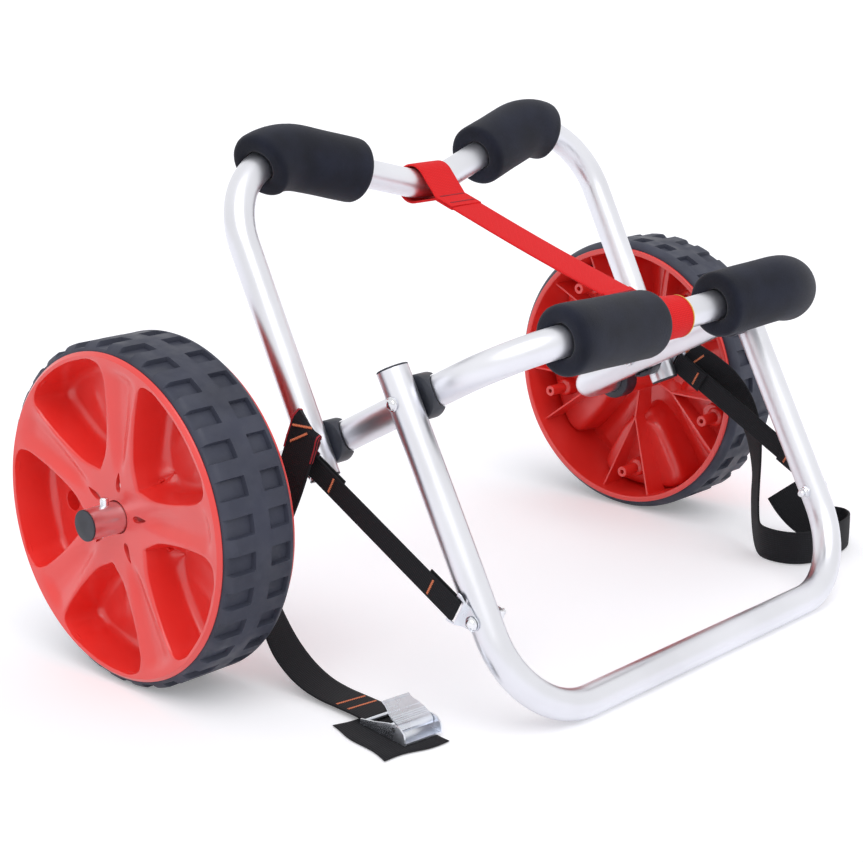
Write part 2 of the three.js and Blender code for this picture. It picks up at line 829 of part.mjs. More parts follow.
// A bolt whose domed head sits on one face and whose shank runs in through a nut on another.
function bolt(name, side, point, headX, nutX) {
  const profile = [
    [0, nutX - nutHeight - boltTail - headX],
    [boltRadius, nutX - nutHeight - boltTail - headX],
    [boltRadius, 0],
    [boltHeadRadius, 0],
    [boltHeadRadius, boltHeadEdge],
    [boltCrownRadius, boltHeadHeight - boltHeadEdge / 2],
    [0, boltHeadHeight],
  ];
  return facing(side, piece(name, turned(profile, boltSides), chrome), headX, point);
}

function nut(name, side, point, nutX) {
  const inner = new THREE.Vector3(-nutHeight, 0, 0);
  const seat = new THREE.Vector3();
  const body = rod(nutRadius, nutSides, inner, seat);
  const start = new THREE.Vector3(-nutHeight - overrun, 0, 0);
  const hole = rod(boltRadius + runningGap, boltSides, start, new THREE.Vector3(overrun, 0, 0));
  return facing(side, piece(name, cut(body, [hole]), chrome), nutX, point);
}

// A foam sleeve round a stretch of a crossbar, placed by its distance from the bar's middle.
function pad(name, route, side, start, length) {
  const middle = lengthsAlong(route).at(-1) / 2;
  const ends = [middle + side * start, middle + side * (start + length)].sort((a, b) => a - b);
  const section = ringSection(padRadius, tubeSides, tubeRadius + runningGap, tubeSides, 0);
  return piece(name, sweep(section, stretch(route, ...ends)), foam);
}

// How far a dipped crossbar's middle line rises above the point of its V, at a distance from the middle.
function dipRise(dip, halfSpan, radius, x) {
  const slope = Math.atan(dip / halfSpan);
  const inBend = x < radius * Math.sin(slope);
  return inBend ? radius / Math.cos(slope) - Math.sqrt(radius ** 2 - x ** 2) : x * Math.tan(slope);
}

// The middle of a loop on a dipped crossbar: halfway between the bar's lowest and highest places in it.
function loopMiddle(barMiddle, up, dip, halfSpan, radius, shift) {
  const lowest = dipRise(dip, halfSpan, radius, 0);
  const highest = dipRise(dip, halfSpan, radius, Math.abs(shift) + redWidth / 2);
  return barMiddle.clone().addScaledVector(up, (lowest + highest) / 2);
}
const frontLoopMiddle = loopMiddle(frontBarMiddle, frontUp, frontBarDip, frontLegX, frontDipRadius, redShift);
const rearLoopMiddle = loopMiddle(rearBarMiddle, rearUp, rearBarDip, outerLegX, rearDipRadius, 0);

// The red webbing's heading, from the rear crossbar to the front one
const redHeading = frontLoopMiddle.clone().sub(rearLoopMiddle).normalize();

// A sewn loop round a crossbar: a teardrop that closes into a double ply towards the other bar.
function redLoop(name, middle, heading, x) {
  const inner = tubeCorner + redLoopSlack;
  const tangent = Math.acos(inner / redLoopTip);
  const across = new THREE.Vector3().crossVectors(alongX, heading);
  const place = (along, aside) => {
    return new THREE.Vector2(
      middle.y + along * heading.y + aside * across.y,
      middle.z + along * heading.z + aside * across.z,
    );
  };
  const arc = (radius) =>
    Array.from({ length: loopSteps + 1 }, (_, i) => {
      const angle = tangent + ((2 * Math.PI - 2 * tangent) * i) / loopSteps;
      return place(radius * Math.cos(angle), radius * Math.sin(angle));
    });
  const neck = redLoopTip + redThickness;
  const outer = [
    ...arc(inner + redThickness),
    place(neck, -redThickness),
    place(redLoopReach, -redThickness),
    place(redLoopReach, redThickness),
    place(neck, redThickness),
  ];
  const geometry = prism(outer, x - redWidth / 2, x + redWidth / 2);
  const hole = prism([...arc(inner), place(redLoopTip, 0)], x - redWidth, x + redWidth);
  return piece(name, cut(geometry, [hole]), redWebbing);
}

function redSpan(name) {
  const reach = redLoopReach + runningGap;
  const start = rearLoopMiddle.clone().addScaledVector(redHeading, reach);
  const end = frontLoopMiddle.clone().addScaledVector(redHeading, -reach);
  const route = new Route([start, at(redShift, end)], [redHeading, redHeading], [alongX, alongX]);
  return piece(name, sweep(bandSection(redWidth, redThickness), route), redWebbing);
}

// Stays: their heading in the YZ plane, the direction across them, and the plane of the bracket's bar
const stayHeading = strapBolt.clone().sub(rearPivot).normalize();
const stayAcross = new THREE.Vector3().crossVectors(alongX, stayHeading);
const stayRun = strapBolt.distanceTo(rearPivot);
const bracketPlane = outerLegOuter + bracketThickness / 2;
const barPlane = bracketPlane + bracketJog;

// A triangular strap bracket on a bolt, whose slotted wide end is jogged outwards.
function strapBracket(name, side, point, heading) {
  const station = (along, x) => at(side * x, point.clone().addScaledVector(heading, along));
  const end = bracketReach + bracketBar / 2;
  const points = [
    station(-bracketNose - overrun, bracketPlane),
    station(bracketJogStart, bracketPlane),
    station(bracketJogEnd, barPlane),
    station(end, barPlane),
  ];
  const route = freeRoute(points, points.map(() => stayAcross));
  const strip = sweep(bandSection(bracketWidth, bracketThickness), route);
  const place = (along, aside) => {
    const spot = point.clone().addScaledVector(heading, along).addScaledVector(stayAcross, aside);
    return new THREE.Vector2(spot.y, spot.z);
  };
  const nose = Array.from({ length: noseSteps + 1 }, (_, i) => {
    const angle = Math.PI / 2 + (Math.PI * i) / noseSteps;
    return place(bracketNose * Math.cos(angle), bracketNose * Math.sin(angle));
  });
  const outline = [...nose, place(end - bracketBar, -bracketWidth / 2), place(end, -bracketWidth / 2)];
  outline.push(place(end, bracketWidth / 2), place(end - bracketBar, bracketWidth / 2));
  const inward = side * (bracketPlane - bracketJog);
  const outward = side * (barPlane + bracketJog);
  const bound = prism(facingOut(outline), Math.min(inward, outward), Math.max(inward, outward));
  const bar = bracketReach - bracketBar / 2;
  const slotHalf = stayWidth / 2 + bracketSlotMargin;
  const slot = [
    place(bar - bracketSlot, -slotHalf),
    place(bar, -slotHalf),
    place(bar, slotHalf),
    place(bar - bracketSlot, slotHalf),
  ];
  const slotCut = prism(facingOut(slot), Math.min(inward, outward), Math.max(inward, outward));
  const hole = rod(boltRadius + runningGap, boltSides, at(inward, point), at(outward, point));
  return piece(name, cut(within(strip, bound), [slotCut, hole]), zinc);
}

// An outline's points in anticlockwise order.
function facingOut(outline) {
  return THREE.ShapeUtils.isClockWise(outline) ? outline.reverse() : outline;
}

// A stay: webbing that turns back round the bar of the bracket at each end.
function stayStrap(name, side) {
  const turn = bracketThickness / 2 + runningGap + stayThickness / 2;
  const bar = bracketReach - bracketBar / 2;
  const station = (along, outwards) =>
    at(side * (barPlane + outwards), rearPivot.clone().addScaledVector(stayHeading, along));
  const turnBack = (along, sign) =>
    Array.from({ length: turnSteps + 1 }, (_, i) => {
      const angle = (Math.PI * i) / turnSteps;
      return station(along - sign * turn * Math.sin(angle), -sign * turn * Math.cos(angle));
    });
  const points = [
    station(bar + stayTail, -turn),
    ...turnBack(bar, 1),
    ...turnBack(stayRun - bar, -1),
    station(stayRun - bar - stayTail, -turn),
  ];
  const route = freeRoute(points, points.map(() => stayAcross));
  return piece(name, sweep(bandSection(stayWidth, stayThickness), route), blackWebbing);
}

function hullStrap(name, stations) {
  const points = stations.map(([place]) => new THREE.Vector3(...place));
  const widths = stations.map(([, width]) => new THREE.Vector3(...width));
  return piece(name, sweep(bandSection(hullWidth, hullThickness), freeRoute(points, widths)), blackWebbing);
}

function bucklePatch(name) {
  const geometry = new THREE.BoxGeometry(patchWidth, patchLength, patchThickness);
  const mesh = piece(name, geometry, blackWebbing);
  mesh.position.set(patchX, patchY, floorGap + patchThickness / 2);
  mesh.rotation.z = -degrees(patchTurn);
  return mesh;
}

// Cam buckle: built along +Y from its rear bar, then turned to lie along the floor towards -Y
function buckleGroup() {
  const group = new THREE.Group();
  group.position.set(buckleX, buckleStartY, floorGap + patchThickness + runningGap);
  group.rotation.z = Math.PI - degrees(buckleTurn);
  return group;
}

function buckleRod(radius, sides, y, z, half) {
  return rod(radius, sides, new THREE.Vector3(-half, y, z), new THREE.Vector3(half, y, z));
}

function buckleFrame(name) {
  const half = buckleWidth / 2;
  const side = buckleSideShares.map(
    ([along, up]) => new THREE.Vector2(along * buckleLength, up * buckleHeight),
  );
  const wall = facingOut([new THREE.Vector2(0, 0), ...side, new THREE.Vector2(buckleLength, 0)]);
  const base = [
    new THREE.Vector2(buckleBaseStart, 0),
    new THREE.Vector2(buckleLength, 0),
    new THREE.Vector2(buckleLength, buckleWall),
    new THREE.Vector2(buckleBaseStart, buckleWall),
  ];
  const body = joined([
    prism(wall, -half, buckleWall - half),
    prism(wall, half - buckleWall, half),
    prism(base, -half, half),
    buckleRod(buckleBar / 2, bossSides, buckleBar, buckleRearHeight / 2, half - buckleWall / 2),
  ]);
  const pinHole = buckleRod(camPinRadius + runningGap, bossSides, camPinReach, camPinHeight, half + overrun);
  return piece(name, cut(body, [pinHole]), zinc);
}

// The toothed cam with its thumb tab, which leans up and back from the pin.
function buckleLever(name) {
  const half = buckleWidth / 2 - buckleWall - runningGap;
  const cam = buckleRod(camRadius, camSides, camPinReach, camPinHeight, half);
  const lean = new THREE.Vector2(-camTabReach, camTabRise).normalize();
  const pin = new THREE.Vector2(camPinReach, camPinHeight);
  const lift = new THREE.Vector2(-lean.y, lean.x).multiplyScalar(-1);
  const root = pin.clone().addScaledVector(lift, camRadius - camPlate);
  const tip = root.clone().addScaledVector(lean, Math.hypot(camTabReach, camTabRise));
  const thickness = lift.clone().multiplyScalar(camPlate);
  const plate = [root, tip, tip.clone().add(thickness), root.clone().add(thickness)];
  const springRoom = new THREE.Vector3(-half - overrun, camPinReach, camPinHeight);
  const springEnd = new THREE.Vector3(-half + camSpringWidth + runningGap, camPinReach, camPinHeight);
  const hollows = [
    buckleRod(camPinRadius + runningGap, bossSides, camPinReach, camPinHeight, half + overrun),
    rod(camSpringRadius + runningGap, bossSides, springRoom, springEnd),
  ];
  return piece(name, cut(joined([cam, prism(facingOut(plate), -half, half)]), hollows), zinc);
}

function bucklePin(name) {
  const flats = camPinRadius * Math.cos(Math.PI / bossSides);
  return piece(name, buckleRod(flats, bossSides, camPinReach, camPinHeight, buckleWidth / 2), chrome);
}

// The cam's torsion spring, a wound sleeve round the pin in the cam's end.
function buckleSpring(name) {
  const start = -(buckleWidth / 2 - buckleWall - runningGap);
  const bore = (camPinRadius + runningGap) / Math.cos(Math.PI / boltSides);
  const profile = [
    [bore, start],
    [camSpringRadius, start],
    [camSpringRadius, start + camSpringWidth],
    [bore, start + camSpringWidth],
  ];
  const geometry = turned(closedProfile(profile), boltSides).translate(0, camPinReach, camPinHeight);
  return piece(name, geometry, zinc);
}

const cart = new THREE.Group();
cart.add(frontFrameTube(), rearFrameTube(), kickstandTube());

for (const [word, side] of [["left", leftSide], ["right", rightSide]]) {
  cart.add(axlePlug(`${word}_axle_plug`, side));
  cart.add(snapButton(`${word}_snap_button`, side));
  cart.add(buttonSpring(`${word}_button_spring`, side));
  cart.add(axleSpacer(`${word}_axle_spacer`, side));
  cart.add(wheel(`${word}_wheel`, side, side < 0 ? leftSpokeAngle : rightSpokeAngle));
  cart.add(tyre(`${word}_tyre`, side));
  cart.add(saddleSpacer(`${word}_rear_frame_spacer`, side, rearPivot));
  cart.add(saddleSpacer(`${word}_kickstand_spacer`, side, standPivot));
  cart.add(bolt(`${word}_rear_frame_bolt`, side, rearPivot, bracketOuter, frontLegInner));
  cart.add(nut(`${word}_rear_frame_nut`, side, rearPivot, frontLegInner));
  cart.add(bolt(`${word}_kickstand_bolt`, side, standPivot, outerLegOuter, frontLegInner));
  cart.add(nut(`${word}_kickstand_nut`, side, standPivot, frontLegInner));
  cart.add(bolt(`${word}_strap_bolt`, side, strapBolt, bracketOuter, outerLegInner));
  cart.add(nut(`${word}_strap_nut`, side, strapBolt, outerLegInner));
  cart.add(legPlug(`${word}_kickstand_cap`, side, standPivot, standDown.clone().negate()));
  cart.add(legPlug(`${word}_rear_frame_cap`, side, rearPivot, rearUp.clone().negate()));
  cart.add(strapBracket(`${word}_upper_strap_bracket`, side, rearPivot, stayHeading));
  cart.add(strapBracket(`${word}_lower_strap_bracket`, side, strapBolt, stayHeading.clone().negate()));
  cart.add(stayStrap(`${word}_stay_strap`, side));
}

cart.add(pad("front_left_pad", frontPath, leftSide, frontLeftPadStart, frontPadLength));
cart.add(pad("front_right_pad", frontPath, rightSide, frontRightPadStart, frontPadLength));
cart.add(pad("rear_left_pad", rearPath, leftSide, rearLeftPadStart, rearPadLength));
cart.add(pad("rear_right_pad", rearPath, rightSide, rearRightPadStart, rearPadLength));
cart.add(redLoop("red_strap_rear_loop", rearLoopMiddle, redHeading, 0));
cart.add(redSpan("red_strap_span"));
cart.add(redLoop("red_strap_front_loop", frontLoopMiddle, redHeading.clone().negate(), redShift));
cart.add(hullStrap("left_hull_strap", leftHullRoute));
cart.add(hullStrap("right_hull_strap", rightHullRoute));
cart.add(bucklePatch("buckle_patch"));

const buckle = buckleGroup();
buckle.add(buckleFrame("cam_buckle_frame"), buckleLever("cam_buckle_lever"));
buckle.add(bucklePin("cam_buckle_pin"), buckleSpring("cam_buckle_spring"));
cart.add(buckle);

// The origin lies on the floor, midway between the kickstand's bar and the backs of the tyres.
const standBarY = standPivot.y + standReach * standDown.y;
cart.position.y = -(standBarY - tubeRadius + tyreRadius) / 2;

export default cart;
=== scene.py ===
"""The looks of a folding kayak cart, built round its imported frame.

Lengths are in millimetres and measured from under the axle, until mesh_piece() places them in the row frame.
"""

import math

import bmesh
import bpy
import numpy as np
from mathutils import Matrix, Vector
from mathutils.geometry import delaunay_2d_cdt


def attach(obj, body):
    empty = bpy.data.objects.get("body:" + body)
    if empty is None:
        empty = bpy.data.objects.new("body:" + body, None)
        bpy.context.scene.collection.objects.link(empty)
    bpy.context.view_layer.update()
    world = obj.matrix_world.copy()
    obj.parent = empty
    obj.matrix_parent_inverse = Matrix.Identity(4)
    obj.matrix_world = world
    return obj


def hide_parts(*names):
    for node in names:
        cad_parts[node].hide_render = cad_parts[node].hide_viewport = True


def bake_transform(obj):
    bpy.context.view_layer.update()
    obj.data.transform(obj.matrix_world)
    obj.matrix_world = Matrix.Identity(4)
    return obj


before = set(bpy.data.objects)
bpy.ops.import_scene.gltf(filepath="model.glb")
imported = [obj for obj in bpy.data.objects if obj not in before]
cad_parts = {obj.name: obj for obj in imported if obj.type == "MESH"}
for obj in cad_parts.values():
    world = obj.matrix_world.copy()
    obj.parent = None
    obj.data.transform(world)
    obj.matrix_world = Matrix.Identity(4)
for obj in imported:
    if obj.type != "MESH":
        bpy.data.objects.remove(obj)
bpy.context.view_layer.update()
scene = bpy.context.scene

# The axle's place in the row frame, and the size of a millimetre
AXLE_Y = 92.802
MM = 0.001

# Tubes and stance, as in the CAD source
TUBE = 12.7
TUBE_WALL = 1.6
BORE = TUBE - TUBE_WALL
GAP = 0.3
TYRE = 140
FRONT_X = 198
OUTER_X = 226.5
AXLE_END_X = 387.5
FRONT_ANGLE = math.radians(28.6)
FRONT_REACH = 320
FRONT_DIP = 29
REAR_PIVOT_REACH = 100.5
REAR_ANGLE = math.radians(62.9)
REAR_REACH = 264
REAR_DIP = 66
STAND_PIVOT_REACH = 214.7
STAND_ANGLE = math.radians(61.6)
OVERHANG = 25.8
STRAP_BOLT_RISE = 87.5
BUTTON_INSET = 18.5

X = np.array([1.0, 0.0, 0.0])
Z = np.array([0.0, 0.0, 1.0])
FRONT_UP = np.array([0.0, -math.cos(FRONT_ANGLE), math.sin(FRONT_ANGLE)])
REAR_UP = np.array([0.0, math.cos(REAR_ANGLE), math.sin(REAR_ANGLE)])
STAND_DOWN = np.array([0.0, -math.cos(STAND_ANGLE), -math.sin(STAND_ANGLE)])
AXLE = np.array([0.0, 0.0, TYRE])
REAR_PIVOT = AXLE + FRONT_UP * REAR_PIVOT_REACH
STAND_PIVOT = AXLE + FRONT_UP * STAND_PIVOT_REACH
STAND_REACH = (STAND_PIVOT[2] - TUBE) / -STAND_DOWN[2]
STRAP_BOLT = STAND_PIVOT + STAND_DOWN * (STAND_REACH - STRAP_BOLT_RISE)
SIDES = (("left", -1), ("right", 1))
VIEW_SIDE = np.array([-0.7, -0.66, 0.3])


# Shader nodes and materials


class Shader:
    """A material's node tree, with its Principled shader and a texture space in metres."""

    def __init__(self, name, color, roughness, metallic=0.0):
        self.material = bpy.data.materials.new(name)
        self.material.use_nodes = True
        self.tree = self.material.node_tree
        self.surface = self.tree.nodes["Principled BSDF"]
        self.surface.inputs["Base Color"].default_value = (*color, 1)
        self.surface.inputs["Roughness"].default_value = roughness
        self.surface.inputs["Metallic"].default_value = metallic
        self.color = color
        self.space = self.tree.nodes.new("ShaderNodeTexCoord")

    def node(self, kind, values=None, **settings):
        made = self.tree.nodes.new(kind)
        for key, value in settings.items():
            setattr(made, key, value)
        for key, value in (values or {}).items():
            if isinstance(value, bpy.types.NodeSocket):
                self.tree.links.new(value, made.inputs[key])
            else:
                made.inputs[key].default_value = value
        return made

    def set(self, key, value):
        if isinstance(value, bpy.types.NodeSocket):
            self.tree.links.new(value, self.surface.inputs[key])
        else:
            self.surface.inputs[key].default_value = value

    def stretched(self, scale, space="Object"):
        values = {"Vector": self.space.outputs[space], "Scale": scale}
        return self.node("ShaderNodeMapping", values).outputs[0]

    def noise(self, scale, detail=3.0, stretch=(1, 1, 1)):
        values = {"Vector": self.stretched(stretch), "Scale": scale, "Detail": detail}
        return self.node("ShaderNodeTexNoise", values).outputs["Fac"]

    def spread(self, value, low, high, from_low=0.35, from_high=0.65):
        values = {"Value": value, "From Min": from_low, "From Max": from_high, "To Min": low, "To Max": high}
        return self.node("ShaderNodeMapRange", values).outputs[0]

    def mixed(self, share, first, second):
        made = self.node("ShaderNodeMix", data_type="RGBA")
        for key, value in ((0, share), (6, first), (7, second)):
            if isinstance(value, bpy.types.NodeSocket):
                self.tree.links.new(value, made.inputs[key])
            else:
                made.inputs[key].default_value = value
        return made.outputs[2]

    def bump(self, height, distance, strength=1.0, under=None):
        values = {"Height": height, "Distance": distance, "Strength": strength}
        if under is not None:
            values["Normal"] = under
        return self.node("ShaderNodeBump", values).outputs[0]

    def arithmetic(self, operation, first, second):
        return self.node("ShaderNodeMath", {0: first, 1: second}, operation=operation).outputs[0]

    def shaded(self, darker, lighter, amount):
        """The material's colour between a darker and a lighter tone, by a value from 0 to 1."""
        tones = [(*(min(1.0, channel * tone) for channel in self.color), 1) for tone in (darker, lighter)]
        return self.mixed(amount, *tones)


def tube_metal():
    shader = Shader("anodised_tube", (0.80, 0.805, 0.85), 0.33, 1.0)
    cloud = shader.noise(9.0)
    shader.set("Roughness", shader.spread(cloud, 0.28, 0.4))
    shader.set("Base Color", shader.shaded(0.93, 1.04, shader.spread(cloud, 0.0, 1.0)))
    shader.set("Normal", shader.bump(shader.noise(900.0, 2.0), 0.00002, 0.35))
    return shader.material


def moulded_red():
    shader = Shader("red_plastic", (0.83, 0.034, 0.026), 0.32)
    shader.set("Base Color", shader.shaded(0.94, 1.04, shader.spread(shader.noise(9.0), 0.0, 1.0)))
    shader.set("Roughness", shader.spread(shader.noise(30.0), 0.28, 0.38))
    shader.set("Normal", shader.bump(shader.noise(420.0, 2.0), 0.00003, 0.25))
    shader.set("Specular IOR Level", 0.75)
    shader.set("Coat Weight", 0.4)
    shader.set("Coat Roughness", 0.25)
    shader.set("Subsurface Weight", 0.05)
    shader.set("Subsurface Radius", (0.004, 0.001, 0.001))
    return shader.material


def tyre_rubber():
    shader = Shader("tyre_rubber", (0.036, 0.040, 0.062), 0.6)
    shader.set("Base Color", shader.shaded(0.85, 1.15, shader.spread(shader.noise(22.0), 0.0, 1.0)))
    shader.set("Roughness", shader.spread(shader.noise(60.0), 0.48, 0.72))
    shader.set("Normal", shader.bump(shader.noise(700.0, 4.0), 0.0001, 0.5))
    return shader.material


def moulded_black():
    shader = Shader("black_plastic", (0.022, 0.025, 0.036), 0.42)
    shader.set("Base Color", shader.shaded(0.7, 1.5, shader.spread(shader.noise(40.0), 0.0, 1.0)))
    shader.set("Roughness", shader.spread(shader.noise(50.0), 0.35, 0.52))
    shader.set("Normal", shader.bump(shader.noise(1100.0, 2.0), 0.00005, 0.5))
    return shader.material


def pad_foam():
    shader = Shader("foam", (0.010, 0.012, 0.022), 0.92)
    where = shader.stretched((1, 1, 1))
    cells = shader.node("ShaderNodeTexVoronoi", {"Vector": where, "Scale": 850.0}).outputs["Distance"]
    grain = shader.noise(2600.0, 2.0)
    shader.set("Base Color", shader.shaded(0.72, 1.35, shader.spread(shader.noise(35.0, 5.0), 0.0, 1.0)))
    coarse = shader.bump(cells, 0.00025, 0.6)
    shader.set("Normal", shader.bump(grain, 0.00012, 0.6, coarse))
    shader.set("Sheen Weight", 0.12)
    shader.set("Sheen Roughness", 0.5)
    shader.set("Specular IOR Level", 0.25)
    return shader.material


def webbing(name, color, pitch, sheen, tone):
    """Woven webbing: ribs across the strap and yarns along it, from UV coordinates in metres."""
    shader = Shader(name, color, 0.78)
    where = shader.stretched((1, 1, 1), "UV")

    def bands(direction, size):
        settings = {"wave_type": "BANDS", "wave_profile": "SIN", "bands_direction": direction}
        return shader.node("ShaderNodeTexWave", {"Vector": where, "Scale": size}, **settings).outputs["Fac"]

    scale = 1 / (pitch * MM) / 20 * 2 * math.pi
    weave = shader.arithmetic("MULTIPLY", bands("X", scale), bands("Y", scale * 0.8))
    fuzz = shader.noise(1500.0, 3.0)
    woven = shader.arithmetic("MULTIPLY", weave, 0.7)
    amount = shader.arithmetic("ADD", woven, shader.arithmetic("MULTIPLY", fuzz, 0.3))
    shader.set("Base Color", shader.shaded(tone, 2 - tone, amount))
    shader.set("Normal", shader.bump(fuzz, 0.0001, 0.5, shader.bump(weave, 0.00035, 0.8)))
    shader.set("Sheen Weight", sheen)
    shader.set("Specular IOR Level", 0.3)
    return shader.material


def plated(name, color, roughness, patches):
    shader = Shader(name, color, roughness, 1.0)
    cloud = shader.noise(patches, 4.0)
    shader.set("Base Color", shader.shaded(0.82, 1.08, shader.spread(cloud, 0.0, 1.0)))
    shader.set("Roughness", shader.spread(cloud, roughness * 0.8, roughness * 1.35))
    shader.set("Normal", shader.bump(shader.noise(1400.0, 2.0), 0.00003, 0.4))
    return shader.material


def sewing_thread(name, color):
    shader = Shader(name, color, 0.7)
    shader.set("Base Color", shader.shaded(0.75, 1.25, shader.spread(shader.noise(1800.0), 0.0, 1.0)))
    return shader.material


METAL = tube_metal()
RED = moulded_red()
RUBBER = tyre_rubber()
BLACK = moulded_black()
FOAM = pad_foam()
RED_WEB = webbing("red_webbing", (0.84, 0.012, 0.014), 1.6, 0.02, 0.8)
BLACK_WEB = webbing("black_webbing", (0.006, 0.006, 0.009), 1.6, 0.04, 0.45)
ZINC = plated("zinc_plate", (0.80, 0.83, 0.89), 0.3, 40.0)
CHROME = plated("bright_steel", (0.8, 0.81, 0.84), 0.16, 60.0)
THREAD = sewing_thread("orange_thread", (0.76, 0.22, 0.1))
PIPING = sewing_thread("red_thread", (0.7, 0.03, 0.04))
GOLD_THREAD = sewing_thread("gold_thread", (0.8, 0.42, 0.04))
MAROON_THREAD = sewing_thread("maroon_thread", (0.35, 0.02, 0.03))


# Mesh helpers


def unit(vector):
    return np.asarray(vector, float) / np.linalg.norm(vector)


def mesh_piece(name, points, faces, material, crease=32, uvs=None):
    """A new object from points in millimetres, smooth but for edges sharper than crease, in degrees."""
    mesh = bpy.data.meshes.new(name)
    places = (np.asarray(points, float) + (0, AXLE_Y, 0)) * MM
    mesh.from_pydata(places.tolist(), [], [list(face) for face in faces])
    if uvs is not None:
        layer = mesh.uv_layers.new(name="UVMap")
        corners = np.array([loop.vertex_index for loop in mesh.loops])
        layer.data.foreach_set("uv", (np.asarray(uvs, float) * MM)[corners].ravel())
    body = bmesh.new()
    body.from_mesh(mesh)
    bmesh.ops.remove_doubles(body, verts=body.verts, dist=2e-6)
    bmesh.ops.dissolve_degenerate(body, dist=1e-7, edges=body.edges)
    bmesh.ops.recalc_face_normals(body, faces=body.faces)
    limit = math.radians(crease)
    for face in body.faces:
        face.smooth = True
    for edge in body.edges:
        edge.smooth = len(edge.link_faces) != 2 or edge.calc_face_angle(0.0) < limit
    body.to_mesh(mesh)
    body.free()
    mesh.materials.append(material)
    made = bpy.data.objects.new(name, mesh)
    scene.collection.objects.link(made)
    return made


def stands_for(made, body, slot, *nodes):
    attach(made, body)
    if nodes:
        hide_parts(*nodes)
    return made


def loft(rings, start=0, cap_start=False, cap_end=False, around=True):
    """Points and faces of a skin over rings of equal count."""
    count = len(rings[0])
    points = [point for ring in rings for point in ring]
    faces = []
    for i in range(len(rings) - 1):
        for j in range(count if around else count - 1):
            k = (j + 1) % count
            low, high = start + i * count, start + (i + 1) * count
            faces.append((low + j, low + k, high + k, high + j))
    if cap_start:
        faces.append(tuple(start + j for j in reversed(range(count))))
    if cap_end:
        last = start + (len(rings) - 1) * count
        faces.append(tuple(last + j for j in range(count)))
    return points, faces


class Build:
    """Collects the points and faces of a piece with several skins."""

    def __init__(self):
        self.points = []
        self.faces = []

    def add(self, points, faces):
        start = len(self.points)
        self.points += [tuple(point) for point in points]
        self.faces += [tuple(start + i for i in face) for face in faces]

    def loft(self, rings, **caps):
        self.add(*loft(rings, **caps))

    def piece(self, name, material, crease=32):
        return mesh_piece(name, self.points, self.faces, material, crease)


def lathe(profile, sides, closed=False):
    """A skin turned about +X from pairs of radius and place along X."""
    angles = np.linspace(0, 2 * math.pi, sides, endpoint=False)
    ring = np.stack([np.zeros(sides), np.cos(angles), np.sin(angles)], axis=1)
    pairs = list(profile) + ([profile[0]] if closed else [])
    rings = [ring * max(radius, 1e-3) + (x, 0, 0) for radius, x in pairs]
    return loft(rings, cap_start=not closed, cap_end=not closed)


def facing(points, side, x, point):
    """Points built along +X, moved to a place and turned about Z to face the given side."""
    turned = np.asarray(points, float) * ((side, side, 1))
    return turned + np.array([side * x, point[1], point[2]])


def rounded(profile, index, radius, steps=4):
    """A profile with one of its corners rounded."""
    corner = np.array(profile[index], float)
    before = unit(np.array(profile[index - 1], float) - corner)
    after = unit(np.array(profile[(index + 1) % len(profile)], float) - corner)
    points = []
    for i in range(steps + 1):
        t = i / steps
        points.append(tuple(corner + before * radius * (1 - t) ** 2 + after * radius * t**2))
    return list(profile[:index]) + points + list(profile[index + 1 :])


def softened(profile, radii, steps=3):
    """A profile with several corners rounded, given as a radius for each index."""
    made = list(profile)
    for index in sorted(radii, reverse=True):
        made = rounded(made, index, radii[index], steps)
    return made


# Routes


class Route:
    def __init__(self, points, headings, widths):
        self.points = np.asarray(points, float)
        self.headings = np.array([unit(heading) for heading in headings])
        across = []
        for width, heading in zip(widths, self.headings):
            across.append(unit(np.asarray(width, float) - heading * np.dot(width, heading)))
        self.widths = np.array(across)
        self.normals = np.cross(self.headings, self.widths)
        steps = np.linalg.norm(np.diff(self.points, axis=0), axis=1)
        self.lengths = np.concatenate([[0.0], np.cumsum(steps)])

    def at(self, length):
        """The point and heading at a length along the route."""
        point = np.array([np.interp(length, self.lengths, self.points[:, axis]) for axis in range(3)])
        heading = unit([np.interp(length, self.lengths, self.headings[:, axis]) for axis in range(3)])
        return point, heading

    def rings(self, section, chosen=None):
        """The section's points, pairs of width and height, at each station."""
        chosen = range(len(self.points)) if chosen is None else chosen
        section = np.asarray(section, float)
        return [self.points[i] + section @ np.array([self.widths[i], self.normals[i]]) for i in chosen]


def bent_route(corners, radii, plane_normal, step_degrees=3.0):
    points = [np.asarray(corners[0], float)]
    headings = [unit(corners[1] - corners[0])]
    for i in range(1, len(corners) - 1):
        along = unit(corners[i] - corners[i - 1])
        onward = unit(corners[i + 1] - corners[i])
        turn = math.acos(float(np.clip(np.dot(along, onward), -1, 1)))
        axis = unit(np.cross(along, onward))
        radius = radii[i - 1]
        start = corners[i] - along * radius * math.tan(turn / 2)
        inward = np.cross(axis, along)
        steps = max(2, round(math.degrees(turn) / step_degrees))
        for step in range(steps + 1):
            angle = turn * step / steps
            points.append(start + inward * radius * (1 - math.cos(angle)) + along * radius * math.sin(angle))
            headings.append(along * math.cos(angle) + inward * math.sin(angle))
    points.append(np.asarray(corners[-1], float))
    headings.append(headings[-1])
    return Route(points, headings, [plane_normal] * len(points))


